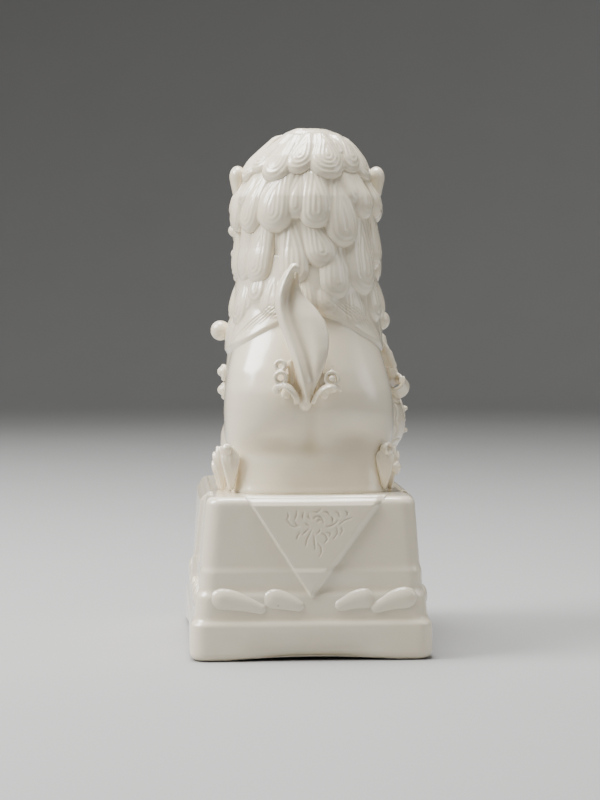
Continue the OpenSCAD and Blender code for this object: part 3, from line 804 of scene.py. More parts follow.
def lockMesh(root, tip, wide, thick, sway=0.0):
    # one tongue of hair from (turn, z) to (turn, z): a rounded tongue combed with lines that follow its rim
    look = maneLook
    q0, q1 = wayAt(root[1]), wayAt(tip[1])
    t0, t1 = math.radians(root[0]), math.radians(tip[0])
    ringA = float(np.interp(q1, maneWay, maneRings[:, 1]))
    side = abs(t1 - t0) * ringA
    length = math.hypot(q1 - q0, side) + 0.01
    r = wide / 2
    rows, cols = max(16, int(length / 0.75)), max(12, int(wide / 0.62))
    s = np.linspace(0, 1, rows)[:, None]
    s = 1 - (1 - s) ** 1.25
    u = np.linspace(-1, 1, cols)[None, :]
    along = s * length
    open_ = 0.62 + 0.38 * soft(along, 0, length * 0.65)
    tipStart = max(length - r * 1.05, length * 0.35)
    over = np.clip((along - tipStart) / (length - tipStart), 0, 1)
    half = r * open_ * np.sqrt(np.clip(1 - over ** 2.3, 0.0006, 1))
    v = u * half
    toTip = np.hypot(v, np.clip(along - tipStart, 0, None) * r / (length - tipStart))
    inner = np.clip(1 - toTip / (r * open_), 0, 1)
    dome = np.sqrt(np.clip(1 - (1 - inner) ** 2.4, 0, 1))
    # the crown's tongues are full from their roots
    low = 0.6 if root[1] > 205 else 0.08
    plump = (low + (1 - low) * soft(along, 0, length * 0.75)) * soft(along, -2, 6)
    rim = inner * r * open_
    combed = ((0.5 - 0.5 * np.cos(2 * np.pi * rim / (look["pitch"] * random.uniform(0.85, 1.2))))
              * soft(rim, 0.9, 2.2))
    lift = thick * look["plump"] * plump * dome - look["groove"] * random.uniform(0.6, 1.2) * combed
    turn = t0 + (t1 - t0) * s + (v + sway * np.sin(np.pi * s)) / max(ringA, 22)
    way = q0 + (q1 - q0) * s
    face = maneSkin(turn, way + 0 * u, lift)
    under = maneSkin(turn, way + 0 * u, 0 * lift - look["bury"])
    rings = []
    for i in range(rows):
        loop = list(face[i]) + list(under[i][::-3])
        rings.append([at(*p) for p in loop])
    return capEnds(fromGrid("lock", rings, closed=True))


# root turn and height, tip turn and height, width, thickness, sway; 0 is the middle of the back
crownLocks = [
    (-12, 208.6, -17, 180, 27, 3.9, 0), (-46, 208, -44, 184, 21, 3.3, -1), (6, 208.6, 13, 183, 21, 3.6, 1),
    (40, 208.6, 58, 184, 20, 3.3, 3), (-66, 207, -68, 180, 19, 3.2, 1), (24, 208, 34, 178, 21, 3.8, 2),
    (-92, 208, -92, 181, 19, 3.2, 0), (84, 208, 88, 182, 20, 3.2, 1), (110, 207, 113, 185, 19, 3.2, 0),
    (-116, 207, -115, 185, 19, 3.2, 0), (136, 208, 140, 189, 19, 3.0, 0), (-138, 208, -140, 189, 19, 3.0, 0),
    (165, 208.6, 166, 192, 18, 3.0, 0), (-166, 208.6, -165, 192, 18, 3.0, 0),
    (55, 204, 74, 179, 15, 2.8, 1), (-30, 206, -31, 190, 15, 2.8, 0)]
upperLocks = [
    (-2, 189, -3, 151, 19, 4.2, -1), (-44, 187, -49, 157, 18, 4.2, -1), (-66, 186, -78, 158, 17, 3.6, -1),
    (-23, 184, -28, 140, 21, 4.8, 1), (22, 188, 30, 149, 22, 4.6, 2), (44, 186, 57, 149, 18, 3.8, 1),
    (70, 184, 79, 150, 17, 4.0, 1), (9, 184, 13, 157, 14, 3.0, 1), (94, 184, 100, 156, 17, 4.0, 0),
    (-92, 184, -99, 156, 17, 4.0, 0), (-34, 186, -38, 165, 13, 3.0, -1), (58, 186, 66, 163, 13, 3.0, 0)]
middleLocks = [
    (3, 160, -9, 128, 19, 4.0, -2), (-44, 166, -50, 112, 27, 5.2, 1), (-68, 162, -76, 128, 19, 4.4, -1),
    (18, 160, 15, 118, 18, 3.8, -1), (36, 160, 50, 119, 20, 4.4, 2), (60, 160, 68, 120, 18, 4.0, 1),
    (-22, 152, -20, 110, 20, 4.0, 1), (86, 160, 92, 121, 18, 4.4, 0), (-90, 160, -96, 119, 18, 4.4, 0),
    (110, 160, 114, 128, 15, 3.8, 0), (-110, 160, -114, 128, 15, 3.8, 0), (-32, 150, -34, 124, 14, 3.0, 0)]
lowerLocks = [
    (46, 132, 49, 107, 16, 3.2, 1), (28, 134, 31, 97, 19, 3.2, 2), (10, 134, 6, 100, 17, 3.0, -1),
    (-64, 136, -64, 97, 19, 4.2, 1), (-34, 128, -37, 93, 18, 3.0, -1), (-8, 128, -13, 101, 16, 2.8, 0),
    (68, 134, 70, 93, 19, 4.2, -1), (-86, 134, -90, 98, 18, 4.4, 0), (90, 134, 93, 96, 18, 4.4, 0),
    (110, 136, 112, 102, 15, 3.8, 0), (-110, 136, -112, 102, 15, 3.8, 0), (58, 128, 60, 101, 13, 2.6, 0)]


def hairCore(zTop, zLow, lift=0.0):
    # the closed mass of hair that the tongues lie on
    rows = []
    turns = np.linspace(0, 2 * np.pi, 120, endpoint=False)
    for way in np.linspace(wayAt(zTop), wayAt(zLow), int((wayAt(zLow) - wayAt(zTop)) / 1.2)):
        ring = maneSkin(turns, np.full_like(turns, way), np.full_like(turns, lift))
        rows.append([at(*p) for p in ring])
    return capEnds(fromGrid("hairCore", rows, closed=True))


def overBody(spot, lift, tree):
    # carries a place on the hair out over the body where the body swells beyond it
    middle = Vector((maneLook["shift"], 2, spot[2]))
    out = (Vector(spot) - middle).normalized()
    hit = tree.ray_cast(at(*(middle + out * 90)), -out)[0]
    if hit is None:
        return spot
    return middle + out * max((hit - at(*middle)).length / mm + lift, (Vector(spot) - middle).length)


def skirt():
    # the smooth lower hem of the mane, shorter at the middle of the back than over the shoulders
    look = skirtLook
    body = bpy.data.objects["bodyCasting"].data
    tree = BVHTree.FromPolygons([v.co for v in body.vertices], [p.vertices for p in body.polygons])
    turns = np.radians(np.linspace(-112, 112, 150))
    rear = np.exp(-(turns / math.radians(look["rearSpread"])) ** 2)
    hem = np.where(turns > 0, look["leftHem"], look["rightHem"]) * (1 - rear) + look["rearHem"] * rear
    rows = []
    for f in np.linspace(0, 1, 60):
        z = 136 + (hem - 136) * f
        lift = look["thick"] * np.clip(1 - soft(f, 0.93, 1.0), 0.02, 1) * soft(f, -0.2, 0.5)
        way = np.interp(-z, -maneRings[:, 0], maneWay)
        face = [overBody(p, lift, tree) for p in maneSkin(turns, way, np.full_like(turns, lift))]
        under = maneSkin(turns, way, np.full_like(turns, -3.0))
        rows.append([at(*p) for p in face + list(under[::-3])])
    return capEnds(fromGrid("skirt", rows, closed=True))


skirtLook = {"leftHem": 77, "rightHem": 77, "rearHem": 102, "rearSpread": 48, "thick": 2.0, "cut": 0.5,
             "line": 0.42}


def hemStrokes():
    # fine strokes that fan from the middle of the back down to each shoulder
    strokes = []
    for s, low in ((1, 82), (-1, 78)):
        for i in range(5):
            u0, w0 = s * (7 + 4 * i), 112 - 1.2 * i
            strokes.append([(u0, w0), (u0 + s * (7 + i), w0 - 5 - i),
                            (u0 + s * (15 + 2 * i), max(w0 - 12 - 2.4 * i, low + 2))])
        for i in range(4):
            u0 = s * (46 + 6 * i)
            strokes.append([(u0, 106), (u0 + s * 1.5, 97), (u0 + s * 4, low + 5)])
    return strokes


def makeTier(name, node, locks, extra=()):
    parts = [lockMesh((a, b), (c, d), wide, thick, sway) for a, b, c, d, wide, thick, sway in locks]
    piece = fuse(name, parts + list(extra), maneLook["voxel"], relax=2)
    if extra:
        strokes = hemStrokes()

        def comb(p, n):
            turn = np.arctan2(p[:, 0] - maneLook["shift"], p[:, 1])
            onHem = (1 - soft(p[:, 2], 106, 113)) * soft(np.cos(turn), -0.5, -0.2)
            return -onHem * strokeDepth(turn * 41, p[:, 2], strokes, skirtLook["line"], skirtLook["cut"])

        sculpt(piece, comb)
    return finishPiece(piece, node, rounds=9)


makeTier("maneCrown", "mane_crown", crownLocks)
makeTier("maneUpper", "mane_upper", upperLocks)
makeTier("maneMiddle", "mane_middle", middleLocks)
makeTier("maneLower", "mane_lower", lowerLocks, [skirt()])
print("mane combed")

# ---- head ----

headLook = {"voxel": 0.8, "comb": 0.34, "combPitch": 2.7}


def combing(p, low, high):
    # fine lines drawn down the hair wherever it shows between the tongues
    look = headLook
    turn = np.arctan2(p[:, 0] + 3, p[:, 1] + 4)
    wander = 1.6 * np.sin(p[:, 2] / 9 + 3 * turn)
    line = np.abs(np.sin(np.pi * (turn * 40 + wander) / look["combPitch"]))
    rear = soft(np.cos(turn), -0.45, -0.1)
    return (-look["comb"] * (1 - line) ** 1.5 * rear
            * soft(p[:, 2], low, low + 6) * (1 - soft(p[:, 2], high - 4, high)))


def makeHead():
    look = headLook
    parts = [hairCore(211.6, 118), stretch((0, -28, 163, 30, 24, 18), (0, -42, 158, 24, 19, 12)),
             stretch((0, -16, 203.2, 11, 10, 9.2), (0.5, 2, 202.4, 11, 10, 9.4)),
             stretch((-16.5, -16, 201.2, 10, 10, 9.4), (-17.5, 0, 200.2, 10, 10, 9.4))]
    for s in (-1, 1):
        parts += [lump(s * 12, -50, 155, 13, 12, 9), lump(s * 24, -33, 147, 14, 15, 13),
                  lump(s * 16, -38, 176, 14, 11, 9), lump(s * 26, -30, 166, 12, 12, 12)]
        parts.append(roll([(0, -62, 150, 2.2), (s * 9, -62.5, 149, 2.6), (s * 18, -57, 150.5, 2.8),
                           (s * 25, -46, 152.5, 2.8), (s * 28.5, -37, 150, 2.6), (s * 27.5, -32, 143, 2.2)]))
        for i in range(3):
            parts.append(roll([(s * (14 + 5 * i), -58 + 3.4 * i, 158 - i, 1.3),
                               (s * (19 + 4.5 * i), -52 + 3.4 * i, 162 - i, 1.6),
                               (s * (21 + 4.5 * i), -50 + 3.2 * i, 165.5 - i, 1.1)]))
    piece = fuse("headCasting", parts, look["voxel"], relax=5)
    hole = stretch((0, -28, 142, 16, 8, 5), (0, -66, 142, 20, 10, 7.5))
    useModifier(piece, "BOOLEAN", operation="DIFFERENCE", object=hole, solver="EXACT")
    bpy.data.objects.remove(hole)
    useModifier(piece, "REMESH", mode="VOXEL", voxel_size=look["voxel"] * mm)
    useModifier(piece, "SMOOTH", factor=0.5, iterations=4)
    sculpt(piece, lambda p, n: combing(p, 128, 217))
    return finishPiece(piece, "head", rounds=12)


makeHead()


def makeFace():
    jaw = fuse("jawChin", [stretch((0, -34, 132, 22, 14, 9), (0, -50, 131.5, 16, 10, 5.5)),
                           roll([(-20, -38, 135, 2.4), (-16, -54, 134.5, 2.6), (0, -60.5, 134, 2.8),
                                 (16, -54, 134.5, 2.6), (20, -38, 135, 2.4)])], 0.6, relax=5)
    finishPiece(jaw, "lower_jaw", rounds=10)
    tongue = fuse("tongueCurl", [stretch((0, -34, 138, 6, 6, 3), (0, -48, 139, 8, 8, 3)),
                                 stretch((0, -48, 139, 8, 8, 3), (0, -58, 142.5, 6, 5, 2.4))], 0.5, relax=4)

    def furrow(p, n):
        return -1.1 * np.exp(-(p[:, 0] / 1.8) ** 2) * soft(n[:, 2], 0.2, 0.7)

    sculpt(tongue, furrow)
    finishPiece(tongue, "tongue", rounds=8)
    for name, node, y, z, up in (("teethUpper", "upper_teeth", -60, 149, -1),
                                 ("teethLower", "lower_teeth", -56, 136, 1)):
        parts = []
        for s in (-1, 1):
            for i in range(1, 5):
                fang = i == 3
                x, yy = s * (i * 4.4 - 2), y + (i - 1) ** 2 * 1.3
                parts.append(stretch((x, yy, z, 2.1, 1.9, 2.2),
                                     (x, yy, z + up * (6 if fang else 2.4),
                                      *((0.7,) * 3 if fang else (1.8, 1.4, 1.2)))))
        finishPiece(fuse(name, parts, 0.35, relax=3), node, rounds=6)
    nose = fuse("noseButton", [stretch((-6, -60, 165, 6, 6, 5), (6, -60, 165, 6, 6, 5)),
                               lump(0, -57, 169.5, 6.4, 7, 4.6),
                               lump(-7.5, -59, 164, 4.6, 5, 4.2), lump(7.5, -59, 164, 4.6, 5, 4.2)], 0.45,
                               relax=4)

    def nostrils(p, n):
        near = (np.exp(-((np.abs(p[:, 0]) - 6.6) ** 2 + (p[:, 2] - 163.4) ** 2) / 3.2)
                * soft(-n[:, 1], 0.1, 0.6))
        return -2.0 * near - 0.5 * np.exp(-(p[:, 0] / 1.2) ** 2) * soft(-n[:, 1], 0.2, 0.7)

    sculpt(nose, nostrils)
    finishPiece(nose, "nose", rounds=8)
    for s, side in ((1, "left"), (-1, "right")):
        eye = fuse("eye" + side.title(), [lump(s * 15.5, -47, 172, 6.9)], 0.4, relax=3)
        look = np.array([s * 0.18, -0.98, -0.05])
        middle = np.array([s * 15.5, -47, 172])

        def gaze(p, n):
            out = p - middle
            away = np.linalg.norm(np.cross(out, look / np.linalg.norm(look)), axis=1)
            front = soft(-n[:, 1], 0.2, 0.5)
            return -front * (0.4 * np.exp(-((away - 4.3) / 0.5) ** 2) + 1.1 * np.exp(-(away / 1.3) ** 2))

        sculpt(eye, gaze)
        finishPiece(eye, "eye_" + side, rounds=6)
        brow = [roll([(s * 6, -50, 180.5, 2.6), (s * 10, -49, 184, 3.8), (s * 17, -46, 186.5, 4.2),
                      (s * 24, -41, 184.5, 3.8),
                      (s * 29.5, -36, 179, 2.6), (s * 30, -35, 174, 1.8)])]
        for i in range(4):
            x = 10 + i * 5
            brow.append(roll([(s * x, -48 + i * 2.2, 187 - i * 0.6, 2.2),
                              (s * (x + 3), -45 + i * 2.2, 191 - i, 2.0),
                              (s * (x + 6), -42 + i * 2.2, 192 - 1.6 * i, 1.3)]))
        brow.append(roll([(s * 8.6, -50.5, 176, 1.4), (s * 12, -54, 178.5, 1.6), (s * 18, -53, 178.5, 1.6),
                          (s * 22.5, -48, 175, 1.4)]))
        finishPiece(fuse("brow" + side.title(), brow, 0.5, relax=3), "brow_" + side, rounds=8)
        x = 37.6 if s > 0 else -45.4
        ear = fuse("ear" + side.title(),
                   [stretch((s * 34 - 2, -13, 175, 6, 6, 8), (x, -10, 183.5, 5, 6, 6.6)),
                                          stretch((x, -10, 183, 5, 6, 6),
                                                  (x - s * 0.6, -10, 175.5, 4.0, 5.4, 5.4))], 0.5, relax=5)

        def dish(p, n):
            front = soft(-n[:, 1], 0.1, 0.6)
            gap = ((p[:, 0] - x) / 3.2) ** 2 + ((p[:, 2] - 180.5) / 5.5) ** 2
            return -2.4 * front * np.exp(-gap)

        sculpt(ear, dish)
        finishPiece(ear, "ear_" + side, rounds=10)
    print("face modelled")


makeFace()

# ---- curls ----

curlLook = {"voxel": 0.4, "cord": 1.95}


def snail(x, y, z, r, turn, rise=0, cord=None, laps=1.55, hand=1, button=True):
    # a cord of clay wound in on itself, lying flat against a surface that faces the turn
    cord = cord or curlLook["cord"]
    t, up = math.radians(turn), math.radians(rise)
    out = Vector((math.sin(t) * math.cos(up), math.cos(t) * math.cos(up), math.sin(up)))
    side = Vector((math.cos(t), -math.sin(t), 0))
    over = side.cross(out) * -1
    count = 22
    points = []
    for i in range(count):
        f = i / (count - 1)
        a = 2 * math.pi * laps * f * hand
        rho = (r - cord) * (1 - f) ** 0.8 + cord * 0.25
        lift = cord * (0.1 + 0.75 * f)
        spot = Vector((x, y, z)) + side * rho * math.cos(a) + over * rho * math.sin(a) + out * lift
        points.append((*spot, cord * (1 - 0.25 * f)))
    parts = [roll(points)]
    if button:
        parts.append(lump(*(Vector((x, y, z)) + out * cord * 0.9), cord * 1.05))
    parts.append(lump(*(Vector((x, y, z)) - out * cord * 0.3), r * 0.86, r * 0.86, r * 0.6))
    return parts


def makeCurls():
    for s, side in ((1, "left"), (-1, "right")):
        parts = [snail(s * (37 - abs(i - 2) * 1.5), -27 + abs(i - 1.6) * 1.2, 180 - i * 14, 7.6, s * 84,
                       cord=2.3, hand=s)
                 for i in range(5)]
        finishPiece(fuse("ruff" + side.title(), parts, 0.5, relax=2), "ruff_" + side, rounds=8)
    beard = []
    for i in range(-2, 3):
        beard.append(roll([(i * 7, -38, 131, 4.6), (i * 7.4, -47 + abs(i) * 2, 121, 5.2),
                           (i * 7.2, -50 + abs(i) * 3, 112, 4.0),
                           (i * 7, -52 + abs(i) * 3, 107.5, 2.6), (i * 7, -54.5 + abs(i) * 3, 109, 1.6)]))
    piece = fuse("beardLocks", beard, 0.5, relax=3)

    def strands(p, n):
        return -0.35 * np.clip(np.cos(2 * np.pi * p[:, 0] / 2.3), 0, 1) ** 2 * soft(-n[:, 1], 0.1, 0.5)

    sculpt(piece, strands)
    finishPiece(piece, "beard", rounds=8)
    elbow = [snail(45, -22 + i, 67 - i * 11, 6.2, 84, hand=1) for i in (0, 1)]
    finishPiece(fuse("elbowCurls", elbow, curlLook["voxel"], relax=2), "elbow_curls", rounds=8)


makeCurls()


def makeHarness():
    parts = []
    for s in (-1, 1):
        for drop, r in ((0, 2.0), (-2.9, 2.0)):
            parts.append(roll([(0, -49.6, 97 + drop, r), (s * 14, -48.4, 101 + drop, r),
                               (s * 28, -41.5, 107 + drop, r),
                               (s * 39, -27, 113 + drop, r)]))
        for i in range(4):
            f = (i + 1) / 4.6
            parts.append(lump(s * 39 * f, -50.6 + 22 * f ** 2.2, 95.8 + 16 * f ** 1.15, 2.5))
    finishPiece(fuse("collarBand", parts, 0.45, relax=2), "collar", rounds=7)
    bell = [lump(0, -54, 85.4, 8),
            roll([(0, -54, 93, 1.2), (-2.6, -54, 96, 1.2), (0, -54, 98.6, 1.2), (2.6, -54, 96, 1.2),
                                         (0, -54, 93, 1.2)])]
    piece = fuse("bellDrop", bell, 0.4, relax=3)

    def slot(p, n):
        ring = np.exp(-((p[:, 2] - 84.6) / 0.6) ** 2) * 0.5
        low = p[:, 2] < 84
        cut = np.exp(-(p[:, 0] / 0.8) ** 2) * low * 1.5 * soft(-n[:, 1], 0.0, 0.4)
        eye = np.exp(-(p[:, 0] ** 2 + (p[:, 2] - 83) ** 2) / 1.8) * soft(-n[:, 1], 0.2, 0.6) * 1.0
        return -(ring + cut + eye) * (p[:, 2] < 92)

    sculpt(piece, slot)
    finishPiece(piece, "bell", rounds=8)
    for s, side, high in ((1, "left", 92), (-1, "right", 98)):
        knob = [stretch((s * 38, -12, high, 5.0, 5.0, 5.0), (s * 44, -12, high, 4.2, 4.2, 4.2)),
                lump(s * 48, -12, high, 6.0)]
        finishPiece(fuse("knob" + side.title(), knob, 0.45, relax=4), "shoulder_knob_" + side, rounds=8)
    # the ribbon twists over twice on its way down
    ribbon = [roll([(-41, -24, 98, 3.0), (-46, -25, 89, 3.2), (-50, -26, 82, 2.4)]),
              stretch((-48.5, -24, 86.5, 4.6, 5.2, 4.2), (-51.2, -25, 80.5, 3.4, 4.8, 2.6)),
              stretch((-52.2, -26, 77.5, 5.0, 5.6, 3.8), (-55.5, -27, 71.5, 3.8, 5.0, 3.2)),
              roll([(-46.5, -20, 88, 1.6), (-51, -20.5, 84, 2.0), (-54.5, -21.5, 77, 2.2),
                    (-57.5, -23, 70.5, 2.0)]),
              roll([(-50, -27, 80, 3.0), (-55, -29, 72, 3.6), (-57, -30, 66, 4.0)])]
    finishPiece(fuse("ribbonFall", ribbon, 0.45, relax=3), "ribbon", rounds=8)


makeHarness()


def makeLoop():
    # the rolled end of the ribbon: a short tube with its edge lapped over itself
    rows = []
    r, thick, long = 7.5, 3.2, 12.6
    turns = np.linspace(0, 2 * math.pi * 1.12, 76)
    frameAt = (Matrix.Translation(at(-60, -31, 58)) @ Matrix.Rotation(math.radians(38), 4, "Y")
               @ Matrix.Rotation(math.radians(-55), 4, "X"))
    for t in turns:
        mid = r - thick * 0.55 - 1.5 * (1 - t / turns[-1]) * 0.9
        ring = []
        for k in range(20):
            a = 2 * math.pi * k / 20
            u = thick / 2 * math.copysign(abs(math.cos(a)) ** 0.5, math.cos(a))
            v = long / 2 * math.copysign(abs(math.sin(a)) ** 0.35, math.sin(a))
            u += 0.35 * math.sin(v * 1.3)
            ring.append(frameAt @ Vector(((mid + u) * math.cos(t + 2.2) * mm,
                                          (mid + u) * math.sin(t + 2.2) * mm, v * mm)))
        rows.append(ring)
    piece = fuse("ribbonLoop", [capEnds(fromGrid("tube", rows, closed=True))], 0.4, relax=3)
    finishPiece(piece, "ribbon_loop", rounds=8)


makeLoop()
print("curls and ribbon rolled")

# ---- tail ----

# height, left edge, right edge, how far back, thickness
tailSpine = np.array([
    (53, 3.4, -0.8, 60, 4), (58, 4.8, -2.6, 63, 5), (63, 6.8, -4.6, 64.2, 5.2), (69, 8.2, -7.2, 64.6, 5.4),
    (75, 9.6, -9.4, 64, 5.6),
    (82, 11.8, -11.2, 62.4, 5.6), (90, 14.6, -11.6, 60, 5.6), (98, 17.6, -9.6, 57.4, 5.6),
    (105, 19.4, -5.0, 55, 5.6),
    (112, 19.6, 1.6, 53.2, 5.4), (118, 18.0, 4.8, 52, 5.2), (123, 15.8, 5.0, 51.6, 4.8),
    (127, 13.2, 5.0, 51.8, 4.2),
    (129.8, 10, 5.2, 52.2, 3.0)], dtype=float)
tailLook = {"ridge": 2.6, "ridgeWide": 6.4, "trough": 1.9, "voxel": 0.5}


def makeTail():
    look = tailLook
    heights = np.linspace(tailSpine[0, 0], tailSpine[-1, 0], 110)
    left, right, back, thick = (np.interp(heights, tailSpine[:, 0], tailSpine[:, i]) for i in range(1, 5))
    for _ in range(6):
        for row in (left, right, back, thick):
            row[1:-1] = (row[:-2] + row[1:-1] * 2 + row[2:]) / 4
    cols = 56
    u = np.linspace(0, 1, cols)
    rings = []
    for z, a, b, y, t in zip(heights, left, right, back, thick):
        wide = a - b
        x = a - wide * u
        fromLeft, fromRight = wide * u, wide * (1 - u)
        rim = np.minimum(fromLeft, fromRight)
        dome = np.sqrt(np.clip(1 - (1 - np.clip(rim / (t * 0.5), 0, 1)) ** 2, 0, 1)) * t * 0.5
        ridgeAt = min(look["ridgeWide"] * 0.55, wide * 0.3)
        ridge = look["ridge"] * np.exp(-((fromLeft - ridgeAt) / (ridgeAt * 0.62)) ** 2)
        hook = float(soft(np.array(z), 100, 118))
        valley = np.exp(-((fromLeft - ridgeAt * 2.5) / max(wide * 0.16, 0.8)) ** 2) * look["trough"]
        swell = np.exp(-((fromRight - wide * 0.30) / (wide * 0.2)) ** 2) * 1.3 * (1 - hook)
        sink = soft(fromLeft, ridgeAt * 1.2, ridgeAt * 2.4) * 2.2 * hook
        outer = y + dome + (ridge - valley + swell - sink) * np.clip(rim / 1.5, 0, 1)
        inner = y - dome * 0.9
        loop = [(x[k], outer[k]) for k in range(cols)] + [(x[k], inner[k]) for k in range(cols - 2, 0, -3)]
        rings.append([at(px, py, z) for px, py in loop])
    leaf = capEnds(fromGrid("leaf", rings, closed=True))
    tip = lump(8, 52, 128.6, 3.2, 2.4, 2.8)
    root = stretch((2, 56, 52, 4.5, 7, 5), (1.5, 62, 58, 3.4, 3.4, 4))
    piece = fuse("tailLeaf", [leaf, tip, root], look["voxel"], relax=4)
    return finishPiece(piece, "tail", rounds=12)


makeTail()


def ringTube(x, y, z, r, long, cord, turn, rise):
    # a short rolled tube seen end on, with its mouth open
    t, up = math.radians(turn), math.radians(rise)
    out = Vector((math.sin(t) * math.cos(up), math.cos(t) * math.cos(up), math.sin(up)))
    side = Vector((math.cos(t), -math.sin(t), 0))
    over = out.cross(side)
    spot = Vector((x, y, z))
    rows = []
    for i in range(40):
        a = 2 * math.pi * i / 40
        ray = side * math.cos(a) + over * math.sin(a)
        ring = []
        for k in range(16):
            b = 2 * math.pi * k / 16
            u = cord / 2 * math.cos(b) * (1.0 if math.sin(b) > 0 else 0.9)
            v = math.sin(b)
            ring.append(at(*(spot + ray * (r - cord / 2 + u)
                             + out * (cord * 0.7 * v if v > 0 else long * v))))
        rows.append(ring)
    rows.append(rows[0])
    tube = fromGrid("tube", rows, closed=True)
    pick(tube)
    bpy.ops.object.mode_set(mode="EDIT")
    bpy.ops.mesh.select_all(action="SELECT")
    bpy.ops.mesh.remove_doubles(threshold=0.00001)
    bpy.ops.mesh.normals_make_consistent(inside=False)
    bpy.ops.object.mode_set(mode="OBJECT")
    return tube


def hood(points, thick, flare):
    # a curled leaf: thin, arched over and open beneath
    rows = []
    knots = np.array(points, dtype=float)
    way = np.linspace(0, len(knots) - 1, 34)
    path = np.stack([np.interp(way, range(len(knots)), knots[:, i]) for i in range(4)], axis=1)
    for _ in range(8):
        path[1:-1] = (path[:-2] + 2 * path[1:-1] + path[2:]) / 4
    for i, (x, y, z, half) in enumerate(path):
        ahead = Vector(path[min(i + 1, len(path) - 1), :3]) - Vector(path[max(i - 1, 0), :3])
        ahead.normalize()
        out = Vector((0, 1, 0))
        wide = ahead.cross(out).normalized()
        lift = wide * (1 if wide.z > 0 else -1)
        ring = []
        for k in range(18):
            b = 2 * math.pi * k / 18
            u, v = math.cos(b), math.sin(b)
            ring.append(at(*(Vector((x, y, z)) + out * (half * u)
                             + lift * (thick * v - flare * u * u * half))))
        rows.append(ring)
    return capEnds(fromGrid("hood", rows, closed=True))


def makeTailCurls():
    left = [ringTube(16.6, 64.6, 73.3, 3.9, 6, 2.5, 12, 6), ringTube(16.6, 66.2, 66.6, 4.4, 7, 2.6, 4, -6),
            ringTube(19.0, 65.5, 59.6, 2.6, 4, 1.7, 30, 0),
            hood([(20.2, 64, 58.5, 2.6), (18.5, 65, 62, 3.2), (14.6, 66, 63, 4.2), (10.6, 66, 60.4, 4.6),
                  (7.6, 65, 55.5, 3.6),
                  (7, 63, 51.5, 2.0)], 1.9, 0.35),
            roll([(10.6, 59, 75, 1.6), (9.8, 60, 68, 2.0), (10.5, 60, 63, 2.4), (13, 58, 57, 3.2)])]
    finishPiece(fuse("tailCurlsLeft", left, 0.38, relax=2), "tail_curls_left", rounds=7)
    right = [ringTube(-12.4, 65.8, 66, 4.7, 6, 1.9, -4, 4), lump(-12.4, 66.4, 66, 1.9, 1.6, 1.9),
             roll([(-13, 63.4, 73, 0.9), (-12.8, 64, 71, 1.1), (-12, 64, 68, 1.4)]),
             hood([(-1.6, 63, 51.5, 1.8), (-3.4, 65, 56.4, 3.2), (-7, 66.4, 61, 4.4),
                   (-11.5, 66.4, 62.4, 4.6),
                   (-16, 65, 60.6, 2.8), (-18.4, 63.6, 59, 1.2)], 1.3, 0.25),
             roll([(-7, 62, 68, 1.8), (-6.6, 63, 62, 2.4), (-8.5, 61, 57, 3.0)]),
             roll([(-10, 62, 60, 3.0), (-13.6, 61.5, 60, 2.4)])]
    finishPiece(fuse("tailCurlsRight", right, 0.38, relax=2), "tail_curls_right", rounds=7)


makeTailCurls()


def shell(x, y, z, wide, tall, lean, ribs=5):
    # a ribbed tuft that fans upwards from its root
    parts = []
    for i in range(ribs):
        f = i / (ribs - 1) * 2 - 1
        parts.append(roll([(x, y - 1, z, 1.6),
                           (x + f * wide * 0.55 + lean * 0.4, y + 1.4, z + tall * 0.5, 1.9),
                           (x + f * wide * 0.95 + lean, y + 0.6 - abs(f) * 1.2,
                            z + tall * (1 - 0.16 * f * f), 1.6),
                           (x + f * wide * 0.8 + lean * 1.2, y - 2.4, z + tall * (1.06 - 0.16 * f * f),
                            1.1)]))
    parts.append(stretch((x, y - 3.8, z + 2, 2.4, 2.4, 2.4),
                         (x + lean, y - 3.8, z + tall * 0.8, wide, 3, 3.2)))
    return parts


def makeTufts():
    for s, side in ((1, "left"), (-1, "right")):
        parts = [shell(s * 44, 50, 3, 4.6, 22, s * 0.6), shell(s * 48.5, 38, 2, 3.4, 22, s * 1.6, 4),
                 shell(s * 49.5, 26, 1.5, 3, 16, s * 1.2, 4)]
        if s > 0:
            parts.append(snail(s * 46.5, 50.5, 25.5, 3.8, s * 30, 0, cord=1.5))
        else:
            parts.append(ringTube(s * 46.5, 50, 25, 3.8, 4, 1.9, s * 40, 10))
            parts.append(snail(s * 51.2, 44, 14, 4.6, s * 60, 0, cord=1.7))
        finishPiece(fuse("hockTufts" + side.title(), parts, 0.45, relax=2), "hock_tufts_" + side, rounds=8)
    print("tail and tufts set")


makeTufts()

# ---- brocade ball ----

ballLook = {"r": 27.5, "at": (-40, -44, 36.5), "around": 6, "cut": 0.85, "line": 0.75,
            "rings": ((-42, 0), (-14, 0.5), (14, 0.5), (42, 0)), "bodySide": math.radians(100)}


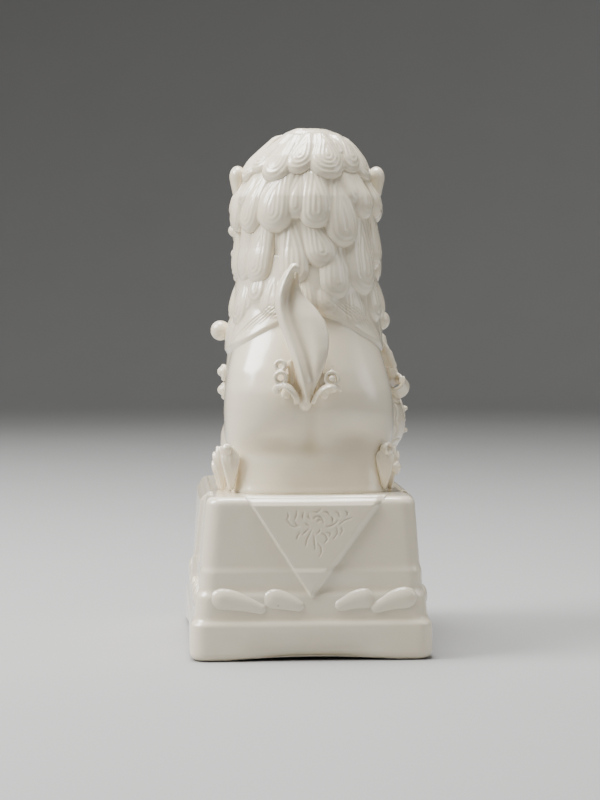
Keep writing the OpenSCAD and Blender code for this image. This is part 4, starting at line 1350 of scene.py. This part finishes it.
def makeBall():
    look = ballLook
    bpy.ops.object.select_all(action="DESELECT")
    bpy.ops.mesh.primitive_uv_sphere_add(segments=240, ring_count=130, radius=look["r"] * mm,
                                         location=at(*look["at"]))
    piece = settle(bpy.context.object)
    piece.name = piece.data.name = "brocadeBall"
    middle = np.array(look["at"])

    def brocade(p, n):
        out = (p - middle) / look["r"]
        lat = np.arcsin(np.clip(out[:, 2], -1, 1))
        cell = 2 * np.pi / look["around"]
        cut = np.zeros(len(p))
        for row, shift in ballLook["rings"]:
            rise = math.radians(row)
            for i in range(look["around"]):
                turn = (i + shift) * cell
                spot = np.array([math.sin(turn) * math.cos(rise), math.cos(turn) * math.cos(rise),
                                 math.sin(rise)])
                gap = np.arccos(np.clip(out @ spot, -1, 1)) * look["r"]
                for radius in (9.2, 3.6):
                    cut = np.maximum(cut, np.exp(-((gap - radius) / look["line"]) ** 2))
        band = np.exp(-((np.abs(lat) - 1.18) * look["r"] / 0.8) ** 2)
        return -look["cut"] * np.maximum(cut, band) - 0.15

    sculpt(piece, brocade)
    finishPiece(piece, "brocade_ball", rounds=5)
    studs = []
    for row, shift in look["rings"]:
        for i in range(look["around"]):
            turn, rise = (i + shift) * 2 * math.pi / look["around"], math.radians(row)
            if turn < look["bodySide"]:
                continue
            out = Vector((math.sin(turn) * math.cos(rise), math.cos(turn) * math.cos(rise), math.sin(rise)))
            low, top = (Vector(look["at"]) + out * (look["r"] + step) for step in (-0.9, 0.6))
            studs.append(stretch((*low, 2.1, 2.1, 2.1), (*top, 1.5, 1.5, 1.5)))
    finishPiece(fuse("ballStuds", studs, 0.3, relax=2), "ball_studs", rounds=4)
    coil = []
    x, y, _ = look["at"]
    for ring, (r, z, cord) in enumerate(((17.5, 3.7, 3.9), (15.2, 9.0, 3.4))):
        points = [(x + r * math.cos(a), y + r * math.sin(a), z + 0.5 * math.sin(3 * a + ring), cord)
                  for a in np.linspace(0, 2 * math.pi, 20)]
        coil.append(roll(points, ends=False))
    rest = fuse("ballRest", coil, 0.55, relax=3)
    finishPiece(rest, "ball_rest", rounds=8)


makeBall()
print("ball turned")

size = {"cad": [list(c) for c in cadBox], "visual": [list(c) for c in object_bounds()]}
